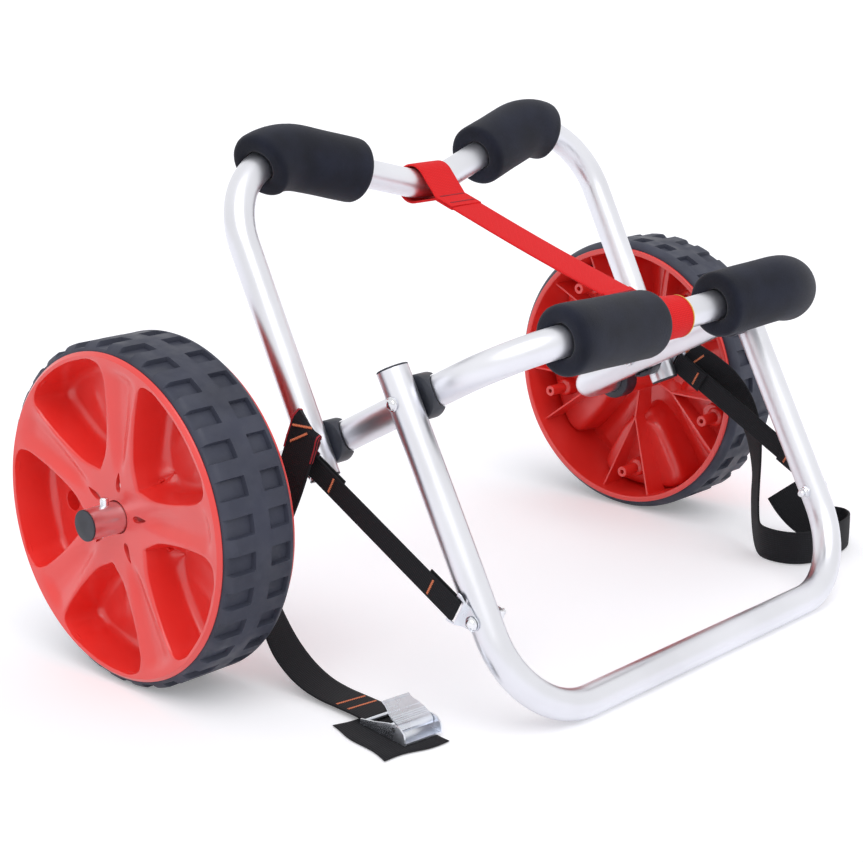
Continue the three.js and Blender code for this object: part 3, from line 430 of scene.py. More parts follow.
def smooth_route(stations, step=3.0):
    """A smooth route through stations of a place and a width direction, resampled at even steps."""
    places = np.array([station[0] for station in stations], float)
    widths = np.array([station[1] for station in stations], float)
    places = np.vstack([2 * places[0] - places[1], places, 2 * places[-1] - places[-2]])
    widths = np.vstack([widths[0], widths, widths[-1]])
    points, across = [], []
    for i in range(1, len(places) - 2):
        count = max(2, round(np.linalg.norm(places[i + 1] - places[i]) / step))
        for j in range(count):
            t = j / count
            points.append(spline(places[i - 1 : i + 3], t))
            across.append(spline(widths[i - 1 : i + 3], t))
    points.append(places[-2])
    across.append(widths[-2])
    points = np.array(points)
    headings = np.gradient(points, axis=0)
    return Route(points, headings, across)


def spline(four, t):
    a, b, c, d = four
    return 0.5 * (2 * b + (c - a) * t + (2 * a - 5 * b + 4 * c - d) * t**2 + (3 * b - a - 3 * c + d) * t**3)


def at(x, point):
    return np.array([x, point[1], point[2]], float)


FRONT_BENDS = [60, 60, 90, 60, 60]
REAR_BENDS = [70, 90, 70]
STAND_BENDS = [75, 75]


def front_route():
    """The middle line of the front frame's tube, from one axle end to the other."""
    corner = AXLE + FRONT_UP * FRONT_REACH
    middle = AXLE + FRONT_UP * (FRONT_REACH - FRONT_DIP)
    corners = [at(-AXLE_END_X, AXLE), at(-FRONT_X, AXLE), at(-FRONT_X, corner), middle]
    corners += [at(FRONT_X, corner), at(FRONT_X, AXLE), at(AXLE_END_X, AXLE)]
    return bent_route(corners, FRONT_BENDS, np.cross(X, FRONT_UP))


def rear_route():
    """The middle line of the rear frame's tube."""
    foot = REAR_PIVOT - REAR_UP * OVERHANG
    corner = REAR_PIVOT + REAR_UP * REAR_REACH
    middle = REAR_PIVOT + REAR_UP * (REAR_REACH - REAR_DIP)
    corners = [at(-OUTER_X, foot), at(-OUTER_X, corner), middle, at(OUTER_X, corner), at(OUTER_X, foot)]
    return bent_route(corners, REAR_BENDS, np.cross(X, REAR_UP))


def stand_route():
    """The middle line of the kickstand's tube."""
    top = STAND_PIVOT - STAND_DOWN * OVERHANG
    bar = STAND_PIVOT + STAND_DOWN * STAND_REACH
    corners = [at(-OUTER_X, top), at(-OUTER_X, bar), at(OUTER_X, bar), at(OUTER_X, top)]
    return bent_route(corners, STAND_BENDS, np.cross(X, STAND_DOWN))


FRONT = front_route()
REAR = rear_route()
STAND = stand_route()


# Camera, light and floor; the camera's place in metres, its headings and its lens fit the photo

CAMERA_LENS = 77.018
CAMERA_PLACE = (-1.19403, -1.03719, 0.58942)
CAMERA_AHEAD = (0.701356, 0.661870, -0.264480)
CAMERA_RIGHT = (0.686425, -0.727200, 0.0)


def make_camera():
    data = bpy.data.cameras.new("camera")
    data.sensor_width = 36
    data.lens = CAMERA_LENS
    data.clip_start = 0.05
    data.clip_end = 60
    camera = bpy.data.objects.new("camera", data)
    ahead = Vector(CAMERA_AHEAD)
    right = Vector(CAMERA_RIGHT).normalized()
    up = right.cross(ahead).normalized()
    turn = Matrix((right, up, -ahead)).transposed()
    camera.matrix_world = Matrix.Translation(CAMERA_PLACE) @ turn.to_4x4()
    scene.collection.objects.link(camera)
    scene.camera = camera


def soft_sun(name, direction, spread, power):
    """A wide, soft light that shines the same all over the floor, from a direction."""
    data = bpy.data.lights.new(name, "SUN")
    data.angle = math.radians(spread)
    data.energy = power
    light = bpy.data.objects.new(name, data)
    light.rotation_euler = Vector(direction).to_track_quat("Z", "Y").to_euler()
    scene.collection.objects.link(light)


def make_world():
    world = bpy.data.worlds.new("studio")
    world.use_nodes = True
    tree = world.node_tree
    scene.world = world
    background = tree.nodes["Background"]
    space = tree.nodes.new("ShaderNodeTexCoord")
    parts = tree.nodes.new("ShaderNodeSeparateXYZ")
    ramp = tree.nodes.new("ShaderNodeValToRGB")
    rays = tree.nodes.new("ShaderNodeLightPath")
    mix = tree.nodes.new("ShaderNodeMix")
    mix.data_type = "RGBA"
    tree.links.new(space.outputs["Generated"], parts.inputs[0])
    tree.links.new(parts.outputs["Z"], ramp.inputs[0])
    tones = (
        (0.0, (0.62, 0.62, 0.65)),
        (0.3, (0.66, 0.66, 0.7)),
        (0.7, (0.73, 0.73, 0.77)),
        (1.0, (0.8, 0.8, 0.84)),
    )
    while len(ramp.color_ramp.elements) < len(tones):
        ramp.color_ramp.elements.new(0.5)
    for element, (place, tone) in zip(ramp.color_ramp.elements, tones):
        element.position = place
        element.color = (*tone, 1)
    camera_or_gloss = tree.nodes.new("ShaderNodeMath")
    camera_or_gloss.operation = "MAXIMUM"
    shown = tree.nodes.new("ShaderNodeMath")
    shown.operation = "MAXIMUM"
    tree.links.new(rays.outputs["Is Camera Ray"], camera_or_gloss.inputs[0])
    tree.links.new(rays.outputs["Is Glossy Ray"], camera_or_gloss.inputs[1])
    tree.links.new(camera_or_gloss.outputs[0], shown.inputs[0])
    tree.links.new(rays.outputs["Is Transmission Ray"], shown.inputs[1])
    tree.links.new(shown.outputs[0], mix.inputs[0])
    tree.links.new(ramp.outputs[0], mix.inputs[6])
    mix.inputs[7].default_value = (1, 1, 1, 1)
    tree.links.new(mix.outputs[2], background.inputs["Color"])


def make_floor():
    shader = Shader("floor", (0.93, 0.93, 0.94), 0.95)
    shader.set("Base Color", shader.shaded(0.995, 1.0, shader.noise(3.0)))
    shader.set("Specular IOR Level", 0.1)
    rays = shader.node("ShaderNodeLightPath")
    seen = shader.arithmetic("MAXIMUM", rays.outputs["Is Camera Ray"], rays.outputs["Is Glossy Ray"])
    seen = shader.arithmetic("MAXIMUM", seen, rays.outputs["Is Transmission Ray"])
    shader.set("Emission Color", (1, 1, 1, 1))
    shader.set("Emission Strength", shader.arithmetic("MULTIPLY", seen, 0.22))
    mesh = bpy.data.meshes.new("floor")
    half = 14.0
    corners = [(-half, -half, 0), (half, -half, 0), (half, half, 0), (-half, half, 0)]
    mesh.from_pydata(corners, [], [(0, 1, 2, 3)])
    mesh.materials.append(shader.material)
    floor = bpy.data.objects.new("floor", mesh)
    floor.location.z = -0.0004
    scene.collection.objects.link(floor)


make_camera()
make_world()
make_floor()
soft_sun("key", (-0.45, -0.5, 1.0), 50, 1.0)


# Hull straps: their routes as in the CAD source, each place with its direction of width

LEFT_HULL = [
    [[-246.4, -90, 190], [0, 0.8, 0.6]],
    [[-246.6, -99, 202], [0, 0.8, 0.6]],
    [[-248, -106, 211], [0.1, 0.8, 0.6]],
    [[-250.6, -108.5, 214.5], [0.2, 0.8, 0.6]],
    [[-253.6, -107.5, 211.5], [0.1, 0.86, 0.5]],
    [[-255.4, -104.5, 200], [0, 0.95, 0.3]],
    [[-257.5, -100, 184], [0, 0.96, 0.27]],
    [[-260, -94, 165], [0, 0.95, 0.3]],
    [[-262.5, -87, 145], [0.05, 0.95, 0.3]],
    [[-264.5, -80, 124], [0.2, 0.93, 0.25]],
    [[-266, -75, 102], [0.45, 0.87, 0.18]],
    [[-266.8, -73.5, 82], [0.7, 0.7, 0.1]],
    [[-267, -76, 63], [0.88, 0.47, 0.08]],
    [[-267, -83, 45], [0.96, 0.25, 0.05]],
    [[-267, -95, 29], [0.99, 0.12, 0.05]],
    [[-266.5, -111, 16.5], [1, 0.05, 0.02]],
    [[-266, -129, 8.5], [1, 0, 0]],
    [[-265.6, -148, 5], [1, -0.03, 0]],
    [[-265.8, -167, 4.4], [1, -0.06, 0]],
    [[-266.6, -184, 4.4], [1, -0.1, 0]],
    [[-268, -198, 4.5], [1, -0.11, 0]],
    [[-268.5, -202.2, 4.4], [1, -0.112, 0]],
]
RIGHT_HULL = [
    [[246.4, -92, 190], [0, -0.1, 1]],
    [[246.8, -104, 188.5], [0, -0.2, 0.98]],
    [[249.4, -118, 184], [0, -0.4, 0.92]],
    [[253.5, -134, 176], [0, -0.55, 0.83]],
    [[257.5, -150, 165], [0, -0.7, 0.7]],
    [[261.8, -163, 150], [-0.1, -0.85, 0.5]],
    [[265.8, -172, 132], [-0.3, -0.88, 0.3]],
    [[269, -177, 112], [-0.5, -0.85, 0.15]],
    [[271, -179, 92], [-0.62, -0.78, 0.05]],
    [[272, -180, 72], [-0.7, -0.71, 0]],
    [[272, -180, 54], [-0.7, -0.71, 0]],
    [[270.6, -181.5, 41], [-0.68, -0.69, 0.25]],
    [[266.6, -185.5, 28.5], [-0.5, -0.5, 0.7]],
    [[260.4, -192, 20], [-0.25, -0.25, 0.93]],
    [[254.4, -199.5, 17.2], [-0.05, -0.05, 1]],
    [[250.6, -208, 16.8], [0, 0, 1]],
    [[249.4, -219, 16.8], [0, 0, 1]],
    [[251.6, -230, 16.8], [0, 0, 1]],
    [[257.6, -239.5, 16.8], [0, 0, 1]],
    [[267, -246, 16.8], [0, 0, 1]],
    [[279, -249.5, 16.8], [0, 0, 1]],
    [[293, -251, 16.8], [0, 0, 1]],
    [[308, -251, 16.8], [0, 0, 1]],
    [[323, -249.6, 16.8], [0, 0, 1]],
    [[337, -246, 16.8], [0, 0, 1]],
    [[348, -239.5, 16.8], [0, 0, 1]],
    [[353.6, -230, 16.8], [0, 0, 1]],
    [[351.6, -220, 16.8], [0, 0, 1]],
    [[343.6, -213.4, 16.9], [0, 0, 1]],
    [[332.4, -210, 18.6], [0.12, 0, 0.99]],
    [[321.6, -207.4, 23.4], [0.3, -0.06, 0.95]],
    [[312.6, -203.4, 31.4], [0.48, -0.14, 0.86]],
    [[306, -197.4, 42], [0.6, -0.28, 0.74]],
    [[302, -190.4, 54.4], [0.62, -0.39, 0.67]],
]
HULL_WIDTH = 32
HULL_THICKNESS = 2


def row_place(point):
    """A point in the row frame, in metres."""
    return tuple(float(value) for value in (np.asarray(point, float) + (0, AXLE_Y, 0)) * MM)


def band_section(width, thickness, crown=0.0, across=10):
    """A flat strap's section with rounded edges: its points, and each one's place across for the weave."""
    half = width / 2
    edge = thickness / 2
    flat = half - edge
    top = [(x, edge + crown * (1 - (x / half) ** 2)) for x in np.linspace(-flat, flat, across)]
    right = [(half - edge + edge * math.cos(a), edge * math.sin(a)) for a in np.radians([50, 10, -30, -60])]
    bottom = [(x, -edge + crown * (1 - (x / half) ** 2)) for x in np.linspace(flat, -flat, across)]
    left = [(edge - half - edge * math.cos(a), edge * math.sin(a)) for a in np.radians([-50, -10, 30, 60])]
    return top + right + bottom + left


def band(name, route, width, thickness, material, crown=0.0):
    """A strap along a route, with the weave's coordinates in mm along and across it."""
    section = band_section(width, thickness, crown)
    points, faces = loft(route.rings(section), cap_start=True, cap_end=True)
    uvs = [(length, place[0]) for length in route.lengths for place in section]
    return mesh_piece(name, points, faces, material, 50, uvs)


def tack(name, centre, along, outwards, length, material, width=2.4, pitch=0.85):
    """A bar tack: a close row of short threads over a strap's face, lying along a line."""
    along = unit(along)
    outwards = unit(outwards)
    across = np.cross(outwards, along)
    made = Build()
    count = max(3, round(length / pitch))
    for i in range(count):
        middle = np.asarray(centre, float) + along * length * ((i + 0.5) / count - 0.5)
        lean = 0.35 if i % 2 else -0.35
        thread = unit(across + along * lean)
        ends = [(-0.5, 0.1), (-0.36, 0.75), (0, 1.0), (0.36, 0.75), (0.5, 0.1)]
        beside = np.cross(outwards, thread)
        rings = []
        for share, size in ends:
            spot = middle + thread * width * share + outwards * 0.12 * size
            ring = [
                spot + (beside * math.cos(a) + outwards * math.sin(a)) * 0.42 * size
                for a in np.linspace(0, 2 * math.pi, 6, endpoint=False)
            ]
            rings.append(ring)
        made.loft(rings, cap_start=True, cap_end=True)
    return made.piece(name, material, 80)


def on_route(route, length, width_share, width, lift):
    """A place on a strap's face, with the strap's heading, normal and width there."""
    i = int(np.searchsorted(route.lengths, length).clip(1, len(route.points) - 1))
    point, heading = route.at(length)
    normal, across = route.normals[i], route.widths[i]
    return point + across * width_share * width + normal * lift, heading, normal, across


def make_hull_straps():
    left = smooth_route(LEFT_HULL)
    right = smooth_route(RIGHT_HULL)
    made = {}
    for side, route in (("left", left), ("right", right)):
        strap = band(f"{side}_hull_webbing", route, HULL_WIDTH, HULL_THICKNESS, BLACK_WEB, 0.25)
        stands_for(strap, "front_frame", "black_webbing", f"{side}_hull_strap")
        made[side] = (strap, route)
    return made


def edge_line(name, route, first, last, share, material):
    """A line of thread along a strap's edge, between two lengths."""
    kept = [i for i, length in enumerate(route.lengths) if first <= length <= last]
    points = route.points[kept] + route.widths[kept] * share * HULL_WIDTH
    line = Route(points, route.headings[kept], route.widths[kept])
    made = band(name, line, 0.9, HULL_THICKNESS + 0.5, material)
    stands_for(made, "front_frame", "red_webbing")


def hull_tack(name, route, length, share, lean, size):
    """A bar tack across a hull strap, on the face towards the camera."""
    centre, heading, normal, width = on_route(route, length, share, HULL_WIDTH, 1.15)
    if normal @ VIEW_SIDE < 0:
        centre, normal = centre - normal * 2.3, -normal
    stitch = tack(name, centre, width + heading * lean, normal, size, THREAD)
    stands_for(stitch, "front_frame", "red_webbing")


def make_hull_tacks(routes):
    """Bar tacks and edge lines on the hull straps."""
    left = routes["left"][1]
    right = routes["right"][1]
    for i, (length, share, lean) in enumerate(((322, 0, 0.1), (309, 0, 0.15))):
        hull_tack(f"left_hull_tack_{i + 1}", left, length, share, lean, 27)
    for i, (length, share, lean) in enumerate(((36, 0.1, 0.35), (45, 0.1, 0.9))):
        hull_tack(f"left_fold_tack_{i + 1}", left, length, share, lean, 20)
    for i, length in enumerate((16, 30)):
        hull_tack(f"right_hull_tack_{i + 1}", right, length, 0, 0.5, 20)
    edge_line("left_fold_edge", left, 6, 62, 0.48, MAROON_THREAD)
    edge_line("left_fold_back_edge", left, 6, 62, -0.48, MAROON_THREAD)
    edge_line("right_hull_edge", right, 4, 96, -0.48, PIPING)


# Frames


def tube(name, route, sides=48):
    angles = np.linspace(0, 2 * math.pi, sides, endpoint=False)
    circle = np.stack([np.cos(angles), np.sin(angles)], axis=1)
    outer = route.rings(circle * TUBE)
    inner = route.rings(circle * BORE)
    points, faces = loft([inner[0]] + outer + inner[::-1])
    return mesh_piece(name, points, faces, METAL, 40)


def plug_points(sides=48):
    stem = BORE - GAP
    profile = [(0.01, -12), (stem - 1, -12), (stem, -11), (stem, GAP), (TUBE, GAP), (TUBE, 1.5), (0.01, 1.35)]
    profile = softened(profile, {5: 0.8, 4: 0.15}, 4)
    profile.insert(-1, (TUBE * 0.5, 1.5))
    return lathe(profile, sides)


def turned_to(points, direction):
    """Points built along +X, turned to lie along a direction in the YZ plane."""
    direction = unit(direction)
    aside = np.cross(direction, X)
    basis = np.stack([direction, -aside, X], axis=0)
    return np.asarray(points, float) @ basis


def make_frames():
    stands_for(tube("front_tube", FRONT), "front_frame", "anodised_tube", "front_frame_tube")
    stands_for(tube("rear_tube", REAR), "rear_frame", "anodised_tube", "rear_frame_tube")
    stands_for(tube("stand_tube", STAND), "kickstand", "anodised_tube", "kickstand_tube")
    points, faces = plug_points()
    caps = (
        ("kickstand_cap", STAND_PIVOT, -STAND_DOWN, "kickstand"),
        ("rear_frame_cap", REAR_PIVOT, -REAR_UP, "rear_frame"),
    )
    for word, side in SIDES:
        made = mesh_piece(f"{word}_end_plug", facing(points, side, AXLE_END_X, AXLE), faces, BLACK)
        stands_for(made, "front_frame", "black_plastic", f"{word}_axle_plug")
        for name, pivot, outwards, body in caps:
            place = at(side * OUTER_X, pivot + outwards * OVERHANG)
            made = mesh_piece(f"{word}_{name}_plug", turned_to(points, outwards) + place, faces, BLACK)
            stands_for(made, body, "black_plastic", f"{word}_{name}")
        make_button(word, side)
        make_axle_spacer(word, side)


def make_button(word, side):
    """A snap button: a domed pin that stands out of the tube, with a flange inside it."""
    radius, flange, dome = 3.5, 4.6, 2.6
    seat = math.sqrt(BORE**2 - flange**2) - GAP
    top = TUBE + 6.5
    profile = [(0.01, seat - 1), (flange, seat - 1), (flange, seat), (radius, seat)]
    for angle in np.radians([0, 12, 25, 40, 55, 70, 82]):
        profile.append((radius * math.cos(angle), top - dome + dome * math.sin(angle)))
    profile.append((0.01, top))
    points, faces = lathe(profile, 32)
    upright = np.roll(np.array(points), -1, axis=1)
    place = at(side * (AXLE_END_X - BUTTON_INSET), AXLE)
    made = mesh_piece(f"{word}_button", upright + place, faces, CHROME, 50)
    stands_for(made, f"{word}_button", "bright_steel", f"{word}_snap_button")


def make_axle_spacer(word, side):
    bore = TUBE + 0.45
    profile = [(bore, -17), (20, -17), (20, 0), (bore, 0)]
    points, faces = lathe(softened(profile, {1: 2.2, 2: 0.5}, 5), 64, closed=True)
    made = mesh_piece(f"{word}_axle_ring", facing(points, side, 289.2, AXLE), faces, BLACK)
    stands_for(made, "front_frame", "black_plastic", f"{word}_axle_spacer")


# Wheels, in a frame of their own: x outwards from the inner rim plane, u and v across the wheel

WHEEL_X = 289.5
WHEEL_WIDTH = 76
HUB = 19
HUB_LENGTH = 68.5
CREST = 130
FLANGE = 133
FLANGE_FALL = 2.6
FLANGE_UNDER = 72.4
FLANGE_INNER = 3.5
BARREL = 130
BARREL_IN = 127.5
PLATE = 4
FLOOR = 40
WALL = 2.5
SHARES = [0.03, 0.2, 0.6, 0.92, 1]
HALF_ANGLES = [7, 20, 25.5, 25, 19]
POCKET_TIP = 40
FRONT_POCKET = {"grow": -0.8, "lip": 2.4, "floor": FLOOR, "radius_rim": 8, "radius_hub": 17, "draft": 3.0}
BACK_POCKET = {
    "grow": WALL,
    "lip": 0,
    "floor": FLOOR - WALL,
    "radius_rim": 9.5,
    "radius_hub": 21,
    "draft": 2.5,
}
DIMPLE = 0.8
DIMPLES = ((103, -9), (104, 8))
SLOT_PLACE = 30
SLOT_REACH = 8.5
SLOT_WIDTH = 2.6
SLOT_TAPER = 1.4
RIM_SIDES = 180
HUB_SIDES = 60
HUB_BORE = 13.5
HUB_MOUTH = 13.75
BOSS_PLACE = 103.5
RECESSED = 3
RECESS_PLACE = 98
RECESS_RADIUS = 8.5
RECESS_DEPTH = 10


def polar(radius, angle):
    return np.array([radius * math.sin(angle), radius * math.cos(angle)])


def closed_spline(points, per_segment):
    """A smooth closed loop through points."""
    count = len(points)
    made = []
    for i in range(count):
        four = [points[(i + k - 1) % count] for k in range(4)]
        made += [spline(four, j / per_segment) for j in range(per_segment)]
    return np.array(made)


def even_loop(points, count):
    """A closed loop resampled at even steps."""
    closed = np.vstack([points, points[:1]])
    lengths = np.concatenate([[0], np.cumsum(np.linalg.norm(np.diff(closed, axis=0), axis=1))])
    wanted = np.linspace(0, lengths[-1], count, endpoint=False)
    return np.stack([np.interp(wanted, lengths, closed[:, k]) for k in range(2)], axis=1)


def pocket_loop(middle, grow, count=96):
    """A pocket's outline across the wheel, grown outwards by a distance."""
    tip = POCKET_TIP - grow
    depth = BARREL_IN + grow / 2 - tip

    def corner(i, side):
        radius = tip + SHARES[i] * depth
        return polar(radius, middle + side * (math.radians(HALF_ANGLES[i]) + grow / radius))

    outline = [corner(i, -1) for i in range(5)]
    outline += [polar(tip + depth, middle + math.radians(angle)) for angle in (-12, -4, 4, 12)]
    outline += [corner(i, 1) for i in reversed(range(5))]
    outline.append(polar(tip - 0.5, middle))
    return even_loop(closed_spline(outline, 8), count)


def slot_loop(spoke, count=28):
    """A teardrop slot at the root of a spoke, its point outwards."""
    made = []
    for i in range(count):
        angle = 2 * math.pi * i / count
        along = SLOT_REACH * math.cos(angle)
        aside = (SLOT_WIDTH - SLOT_TAPER * math.cos(angle)) * math.sin(angle)
        made.append(polar(SLOT_PLACE + along, spoke) + polar(aside, spoke + math.pi / 2))
    return np.array(made)


def inside(points, loop):
    """Which points lie inside a closed loop."""
    x, y = points[:, 0][:, None], points[:, 1][:, None]
    ax, ay = loop[:, 0][None], loop[:, 1][None]
    bx, by = np.roll(loop[:, 0], -1)[None], np.roll(loop[:, 1], -1)[None]
    crosses = (ay > y) != (by > y)
    span = np.where(by == ay, 1e-9, by - ay)
    return (np.sum(crosses & (x < (bx - ax) * (y - ay) / span + ax), axis=1) % 2).astype(bool)


def skin(loops, holes, interior, height):
    """A triangulated plate within the first loop and outside the holes, lifted by a height function."""
    points = []
    edges = []
    for loop in loops:
        start = len(points)
        points += [Vector(place) for place in loop.tolist()]
        edges += [(start + i, start + (i + 1) % len(loop)) for i in range(len(loop))]
    points += [Vector(place) for place in interior.tolist()]
    places, _, faces, _, _, _ = delaunay_2d_cdt(points, edges, [], 0, 1e-5, False)
    flat = np.array([tuple(place) for place in places])
    triangles = np.array(faces)
    centres = flat[triangles].mean(axis=1)
    kept = inside(centres, loops[0])
    for hole in holes:
        kept &= ~inside(centres, hole)
    lifted = np.column_stack([height(flat), flat])
    return lifted, triangles[kept].tolist()


def clear_of(points, loops, distance):
    """The points that keep a distance from every loop."""
    kept = np.ones(len(points), bool)
    for loop in loops:
        gaps = np.linalg.norm(points[:, None] - loop[None], axis=2).min(axis=1)
        kept &= gaps > distance
    return points[kept]


def polar_grid(inner, outer, step):
    """Places on circles between two radii, about a step apart."""
    made = []
    for radius in np.arange(inner + step, outer, step):
        count = max(12, int(2 * math.pi * radius / step))
        angles = 2 * math.pi * (np.arange(count) + 0.5 * (int(radius / step) % 2)) / count
        made.append(np.stack([radius * np.sin(angles), radius * np.cos(angles)], axis=1))
    return np.vstack(made)


def ring_loop(radius, count):
    """A circle across the wheel."""
    angles = 2 * math.pi * np.arange(count) / count
    return np.stack([radius * np.sin(angles), radius * np.cos(angles)], axis=1)


def lifted_ring(loop, height):
    return np.column_stack([np.full(len(loop), height) if np.isscalar(height) else height, loop])


def smooth_step(value):
    value = np.clip(value, 0, 1)
    return value * value * (3 - 2 * value)


def face_height(flat, spokes):
    """The dished face, with a shallow valley along each spoke."""
    radius = np.linalg.norm(flat, axis=1)
    base = np.interp(radius, [HUB, BARREL_IN - 4, CREST], [HUB_LENGTH, WHEEL_WIDTH - 0.5, WHEEL_WIDTH])
    along = smooth_step((radius - 32) / 30) * (1 - smooth_step((radius - 114) / 12))
    width = np.interp(radius, [30, 60, 124], [4.5, 9, 22])
    for spoke in spokes:
        ahead = flat @ polar(1, spoke)
        aside = np.abs(flat @ polar(1, spoke + math.pi / 2))
        valley = np.clip(1.35 - 1.35 * aside / width, 0, 1) * along * (ahead > 0)
        base = base - 4.6 * valley
    return base


def pocket_rings(middle, top, grow, lip, floor, radius_rim, radius_hub, draft):
    """Rings from a pocket's lip down to its floor, drawn in towards its spine."""
    base = pocket_loop(middle, grow)
    ahead = base @ polar(1, middle)
    reach = np.clip(ahead, 56, 104)
    spine = reach[:, None] * polar(1, middle)[None]
    inward = spine - base
    room = np.linalg.norm(inward, axis=1)
    inward /= room[:, None]
    radius = np.linalg.norm(base, axis=1)
    share = smooth_step((78 - radius) / 36)
    fillet = radius_rim + (radius_hub - radius_rim) * share
    heights = top(base)
    drop = heights - floor
    fillet = np.minimum(fillet, drop * 0.9)
    rings = []
    if lip > 0:
        lip = lip + (0.7 - lip) * smooth_step((radius - 112) / 8)
        outer = base - inward * lip[:, None]
        rings.append(lifted_ring(outer, top(outer)))
        for angle in np.radians([30, 60, 90]):
            place = base - inward * (lip * (1 - math.sin(angle)))[:, None]
            rings.append(lifted_ring(place, heights - lip * (1 - math.cos(angle))))
    else:
        rings.append(lifted_ring(base, heights))
    for t in (0.35, 0.7, 1.0):
        depth = lip + (drop - fillet - lip) * t
        step = np.minimum(draft * t, room * 0.9)
        rings.append(lifted_ring(base + inward * step[:, None], heights - depth))
    for angle in np.radians([18, 36, 54, 72, 90]):
        step = np.minimum(draft + fillet * (1 - math.cos(angle)), room * 0.92)
        rings.append(lifted_ring(base + inward * step[:, None], floor + fillet * (1 - math.sin(angle))))
    return rings


def floor_height(flat, floor, dimples, toward, size):
    """A pocket's floor, with a low mark at each dimple and a soft ridge from it towards the hub."""
    base = np.full(len(flat), float(floor))
    for radius, angle in dimples:
        centre = polar(radius, angle)
        gap = np.linalg.norm(flat - centre, axis=1)
        base = base + size * 1.1 * np.exp(-((gap / 3.0) ** 2))
        inward = -unit(polar(1, toward))
        along = (flat - centre) @ inward
        aside = (flat - centre) @ np.array([-inward[1], inward[0]])
        streak = smooth_step(along / 6) * (1 - smooth_step((along - 34) / 16))
        base = base + size * streak * np.exp(-((aside / 4.5) ** 2))
    return base


def add_pocket_floor(body, rim, floor, dimples, middle, recessed):
    """The floor of a pocket, with a deep round recess in it where it has one."""
    loops = [rim]
    holes = []
    if recessed:
        centre = polar(RECESS_PLACE, middle)
        size = RECESS_RADIUS if floor == FLOOR else RECESS_RADIUS + WALL
        mouth = ring_loop(size + 0.6, 40) + centre
        loops.append(mouth)
        holes.append(mouth)
        low = -RECESS_DEPTH
        steps = [(0.6, 0.0), (0.15, -0.2), (0, -0.7), (-0.3, 1.4 + low), (-0.7, 0.4 + low), (-1.7, low)]
        steps = [(size + grow, depth) for grow, depth in steps]
        steps += [(share * size, low) for share in (0.5, 0.02)]
        cup = [lifted_ring(ring_loop(radius, 40) + centre, float(floor + depth)) for radius, depth in steps]
        body.loft(cup, cap_end=True)
    grid = polar_grid(0, 48, 3.2) + polar(80, middle)
    grid = grid[inside(grid, rim)]
    grid = clear_of(grid, loops, 1.4)
    for hole in holes:
        grid = grid[~inside(grid, hole)]

    def height(flat):
        lifted = floor_height(flat, floor, dimples, middle, DIMPLE)
        edge = np.linalg.norm(flat[:, None] - rim[None], axis=2).min(axis=1)
        return floor + (lifted - floor) * smooth_step(edge / 4)

    body.add(*skin(loops, holes, grid, height))


def add_pockets(body, middles, top, shape, marks=()):
    """A pocket at each middle, from its lip down to its floor; the rings of each are given back."""
    made = []
    for i, middle in enumerate(middles):
        rings = pocket_rings(middle, top, **shape)
        dimples = [(radius, middle + math.radians(angle)) for radius, angle in marks]
        body.loft(rings)
        add_pocket_floor(body, rings[-1][:, 1:], shape["floor"], dimples, middle, i == RECESSED)
        made.append(rings)
    return made


def add_plate(body, inner, outer, openings, grid, gap, height):
    """One face of the plate between two radii, with openings in it, on a grid of places."""
    rims = [ring_loop(outer, RIM_SIDES), ring_loop(inner, HUB_SIDES)]
    grid = clear_of(grid, openings, gap)
    grid = grid[~np.any([inside(grid, loop) for loop in openings], axis=0)]
    body.add(*skin(rims + openings, rims[1:] + openings, grid, height))


def add_rim_and_hub(body):
    """The turned rim and hub, which meet the edges of the plate."""
    plate_back = float(face_height(np.array([[0.0, BARREL_IN]]), [])[0]) - PLATE
    rim = [(CREST, WHEEL_WIDTH), (FLANGE, WHEEL_WIDTH - FLANGE_FALL)]
    rim += [(FLANGE, FLANGE_UNDER), (BARREL, FLANGE_UNDER), (BARREL, FLANGE_INNER)]
    rim += [(FLANGE, FLANGE_INNER), (FLANGE, 0), (BARREL_IN, 0), (BARREL_IN, plate_back)]
    rim = softened(rim, {1: 0.7, 2: 0.3, 5: 0.8, 6: 1.2, 7: 1.8}, 4)
    body.loft([lifted_ring(ring_loop(radius, RIM_SIDES), float(x)) for radius, x in rim])
    hub = [(HUB_MOUTH, HUB_LENGTH), (HUB_BORE, HUB_LENGTH - 0.6), (HUB_BORE, 0.6), (HUB_BORE + 0.7, 0)]
    hub += [(HUB - 1, 0), (HUB, 1), (HUB, HUB_LENGTH - PLATE)]
    body.loft([lifted_ring(ring_loop(radius, HUB_SIDES), float(x)) for radius, x in hub])


def wheel_shell(spokes, middles):
    """The wheel's moulded skin: its two faces, pockets, slots, rim and hub."""
    body = Build()
    slots = [slot_loop(spoke) for spoke in spokes]

    def front(flat):
        return face_height(flat, spokes)

    def back(flat):
        return face_height(flat, spokes) - PLATE

    lips = [rings[0][:, 1:] for rings in add_pockets(body, middles, front, FRONT_POCKET, DIMPLES)]
    rings_back = add_pockets(body, middles, back, BACK_POCKET)
    add_plate(body, HUB_MOUTH, CREST, lips + slots, polar_grid(HUB - 4, CREST - 1.2, 3.0), 1.4, front)
    back_lips = [rings[0][:, 1:] for rings in rings_back]
    room = BARREL_IN - 0.6
    inner_lips = [np.minimum(1, room / np.linalg.norm(loop, axis=1))[:, None] * loop for loop in back_lips]
    for rings, pulled in zip(rings_back, inner_lips):
        body.loft([lifted_ring(pulled, back(pulled)), rings[1]])
    add_plate(body, HUB, BARREL_IN, inner_lips + slots, polar_grid(HUB, BARREL_IN - 1.5, 4.2), 1.8, back)
    for slot in slots:
        body.loft([lifted_ring(slot, front(slot)), lifted_ring(slot, back(slot))])
    add_rim_and_hub(body)
    return body


